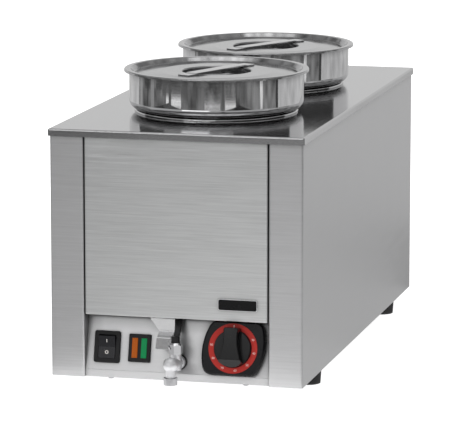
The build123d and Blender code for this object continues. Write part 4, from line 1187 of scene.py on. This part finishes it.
@dataclass
class Studio:
    """A pale floor, a soft room with cloths for the bright metal to mirror, and the camera."""

    photo_width: float = 462.0
    focal_pixels: float = 3457.7
    sensor_mm: float = 36.0
    camera_place: Tuple[float, float, float] = (0.9705, -3.8929, 0.8531)
    # The camera's turn to the left and its tilt down, in radians.
    camera_yaw: float = 0.24749
    camera_pitch: float = 0.17205
    floor_half: float = 30.0
    # Lit paper: white, with faint shadows.
    floor_finish: GlowingPaper = GlowingPaper("pale_lit_paper", "#c8c8c8", 0.9)
    horizon_light: float = 0.82
    zenith_light: float = 0.95
    cloths: Tuple[Cloth, ...] = (
        # The floor close by, from the left round the front to the right.
        Cloth((-106.0, -16.0), (0.29, 1.80), LAID, 0.55),
        Cloth((-16.0, 45.0), (0.29, 1.80), LAID, 0.78),
        Cloth((45.0, 120.0), (0.14, 1.2), LAID, 0.60),
        # The darker floor further off, with a bright and a dark strip at the right.
        Cloth((-106.0, 45.0), (1.80, 3.3), LAID, 0.18, 0.7),
        Cloth((45.0, 72.0), (1.2, 3.3), LAID, 0.26, 0.6),
        Cloth((72.0, 76.0), (1.2, 3.3), LAID, 0.80, 0.6, 0.2),
        Cloth((76.0, 97.0), (1.2, 3.3), LAID, 0.22, 0.6),
        Cloth((97.0, 101.0), (1.2, 3.3), LAID, 0.06),
        # The floor behind, with a darker patch.
        Cloth((120.0, 254.0), (0.14, 1.3), LAID, 0.54),
        Cloth((158.0, 205.0), (0.5, 0.95), SECOND, 0.36),
        Cloth((101.0, 194.0), (1.3, 3.3), LAID, 0.58, 0.2),
        Cloth((194.0, 254.0), (1.3, 3.3), LAID, 0.62, 0.15),
        # The dark foot of the walls.
        Cloth((-106.0, -58.0), SKIRTING, (0.0, 1.10), 0.05),
        Cloth((-58.0, 36.0), SKIRTING, (0.0, 0.84), 0.05),
        Cloth((36.0, 125.0), SKIRTING, (0.0, 1.10), 0.04),
        # The front wall, with a bright card low on it.
        Cloth((-32.0, 5.0), WALL, (0.80, 1.5), 3.0),
        Cloth((-32.0, 5.0), WALL, (1.5, 2.1), 0.80),
        Cloth((5.0, 80.0), WALL, (0.80, 2.1), 0.75),
        Cloth((-75.0, -32.0), WALL, (0.80, 2.1), 0.80),
        Cloth((-90.0, 90.0), WALL, (2.1, 3.0), 0.10),
        # Overhead, with bright patches towards the front.
        Cloth((-180.0, 180.0), (0.5, 3.3), CEILING, 0.34, 0.9, 0.6),
        Cloth((-66.0, 80.0), (0.6, 1.9), UNDER_CEILING, 1.2, 0.9, 0.22),
        Cloth((-78.0, -58.0), (0.8, 1.3), UNDER_CEILING, 1.1, 0.3),
        # The back wall.
        Cloth((90.0, 270.0), WALL, (1.42, 3.0), 0.30, 0.95, 0.5),
        Cloth((110.0, 250.0), WALL, (0.0, 1.42), 0.70),
        # Bright strips on the dark floor, which the pots' walls mirror.
        Cloth((-54.0, -50.0), (2.20, 2.32), TOP, 1.3),
        Cloth((-46.0, -32.0), (2.20, 2.31), TOP, 1.3),
        Cloth((-1.0, 19.0), (2.20, 2.25), TOP, 1.2),
        Cloth((25.0, 39.0), (2.20, 2.29), TOP, 1.3),
        # Dark strips beyond them, then strips that run outwards.
        Cloth((-22.0, 20.0), (2.41, 2.47), TOP, 0.08),
        Cloth((-60.0, -24.0), (2.34, 2.55), THIRD, 0.13),
        Cloth((-71.0, -61.0), (2.42, 2.52), TOP, 0.07),
        Cloth((-92.0, -82.0), (2.42, 2.52), TOP, 0.06),
        Cloth((-104.0, -98.0), (2.10, 3.0), TOP, 0.40),
        Cloth((-16.0, -12.0), (2.30, 3.2), THIRD, 0.14),
        Cloth((21.0, 24.0), (2.20, 3.2), THIRD, 0.12),
        Cloth((-80.0, -74.0), (2.10, 3.2), THIRD, 0.34),
    )
    lamps: Tuple[Softbox, ...] = (
        Softbox("overhead_softbox", (-0.5, -0.6, 2.6), (2.4, 2.4), 36.0),
        Softbox("left_softbox", (-2.4, -1.6, 1.6), (1.2, 1.6), 14.0),
        Softbox("right_softbox", (2.6, 0.4, 1.5), (1.4, 1.4), 12.0),
    )

    def build(self) -> None:
        """Set up floor, room light, cloths, lamps and camera."""
        self.build_floor()
        self.build_room_light()
        low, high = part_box("lid_front")
        centre = Vector(((low.x + high.x) / 2, (low.y + high.y) / 2, 0.0))
        for number, cloth in enumerate(self.cloths):
            cloth.build(f"cloth_{number}", centre)
        for lamp in self.lamps:
            lamp.build()
        self.build_camera()
        bpy.context.scene.view_settings.view_transform = "Standard"

    def build_floor(self) -> None:
        """Lay the floor that the object stands on."""
        shape = bmesh.new()
        bmesh.ops.create_grid(shape, x_segments=1, y_segments=1, size=self.floor_half)
        mesh_object("floor", shape, self.floor_finish.material())

    def build_room_light(self) -> None:
        """Fill the room with soft light, a little brighter above."""
        world = bpy.data.worlds.new("soft_room")
        tree = bare_tree(world)
        way = add_node(tree, "TexCoord").outputs["Generated"]
        split = add_node(tree, "SeparateXYZ", {0: way})
        level = add_node(
            tree,
            "MapRange",
            {"Value": split.outputs["Z"], "To Min": self.horizon_light, "To Max": self.zenith_light},
        )
        glow = add_node(tree, "Background", {"Color": linear_colour(WHITE), "Strength": level.outputs[0]})
        add_node(tree, "OutputWorld", {"Surface": glow.outputs[0]})
        bpy.context.scene.world = world

    def build_camera(self) -> None:
        """Stand the camera where the photograph was taken from."""
        lens = bpy.data.cameras.new("photo_camera")
        lens.sensor_width = self.sensor_mm
        lens.lens = self.sensor_mm * self.focal_pixels / self.photo_width
        lens.clip_end = 4 * self.floor_half
        camera = bpy.data.objects.new("photo_camera", lens)
        camera.location = self.camera_place
        camera.rotation_euler = (math.pi / 2 - self.camera_pitch, 0.0, self.camera_yaw)
        bpy.context.scene.collection.objects.link(camera)
        bpy.context.scene.camera = camera


def main() -> None:
    """Load the frame, dress every solid, add the details and set up the studio."""
    logging.basicConfig(level=logging.INFO, format="%(name)s %(message)s")
    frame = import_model()
    shop = Workshop(frame)
    Studio().build()
    casing = Casing(shop)
    casing.dress()
    casing.build_screw_heads()
    badge = Badge(shop)
    badge.dress()
    badge.build_rim()
    Deck(shop).dress()
    controls = Controls(shop)
    controls.dress()
    controls.build_figures()
    controls.build_rocker_signs()
    controls.build_knob_dot()
    DrainTap(shop).dress()
    Inside(shop).dress()


if __name__ == "__main__":
    main()
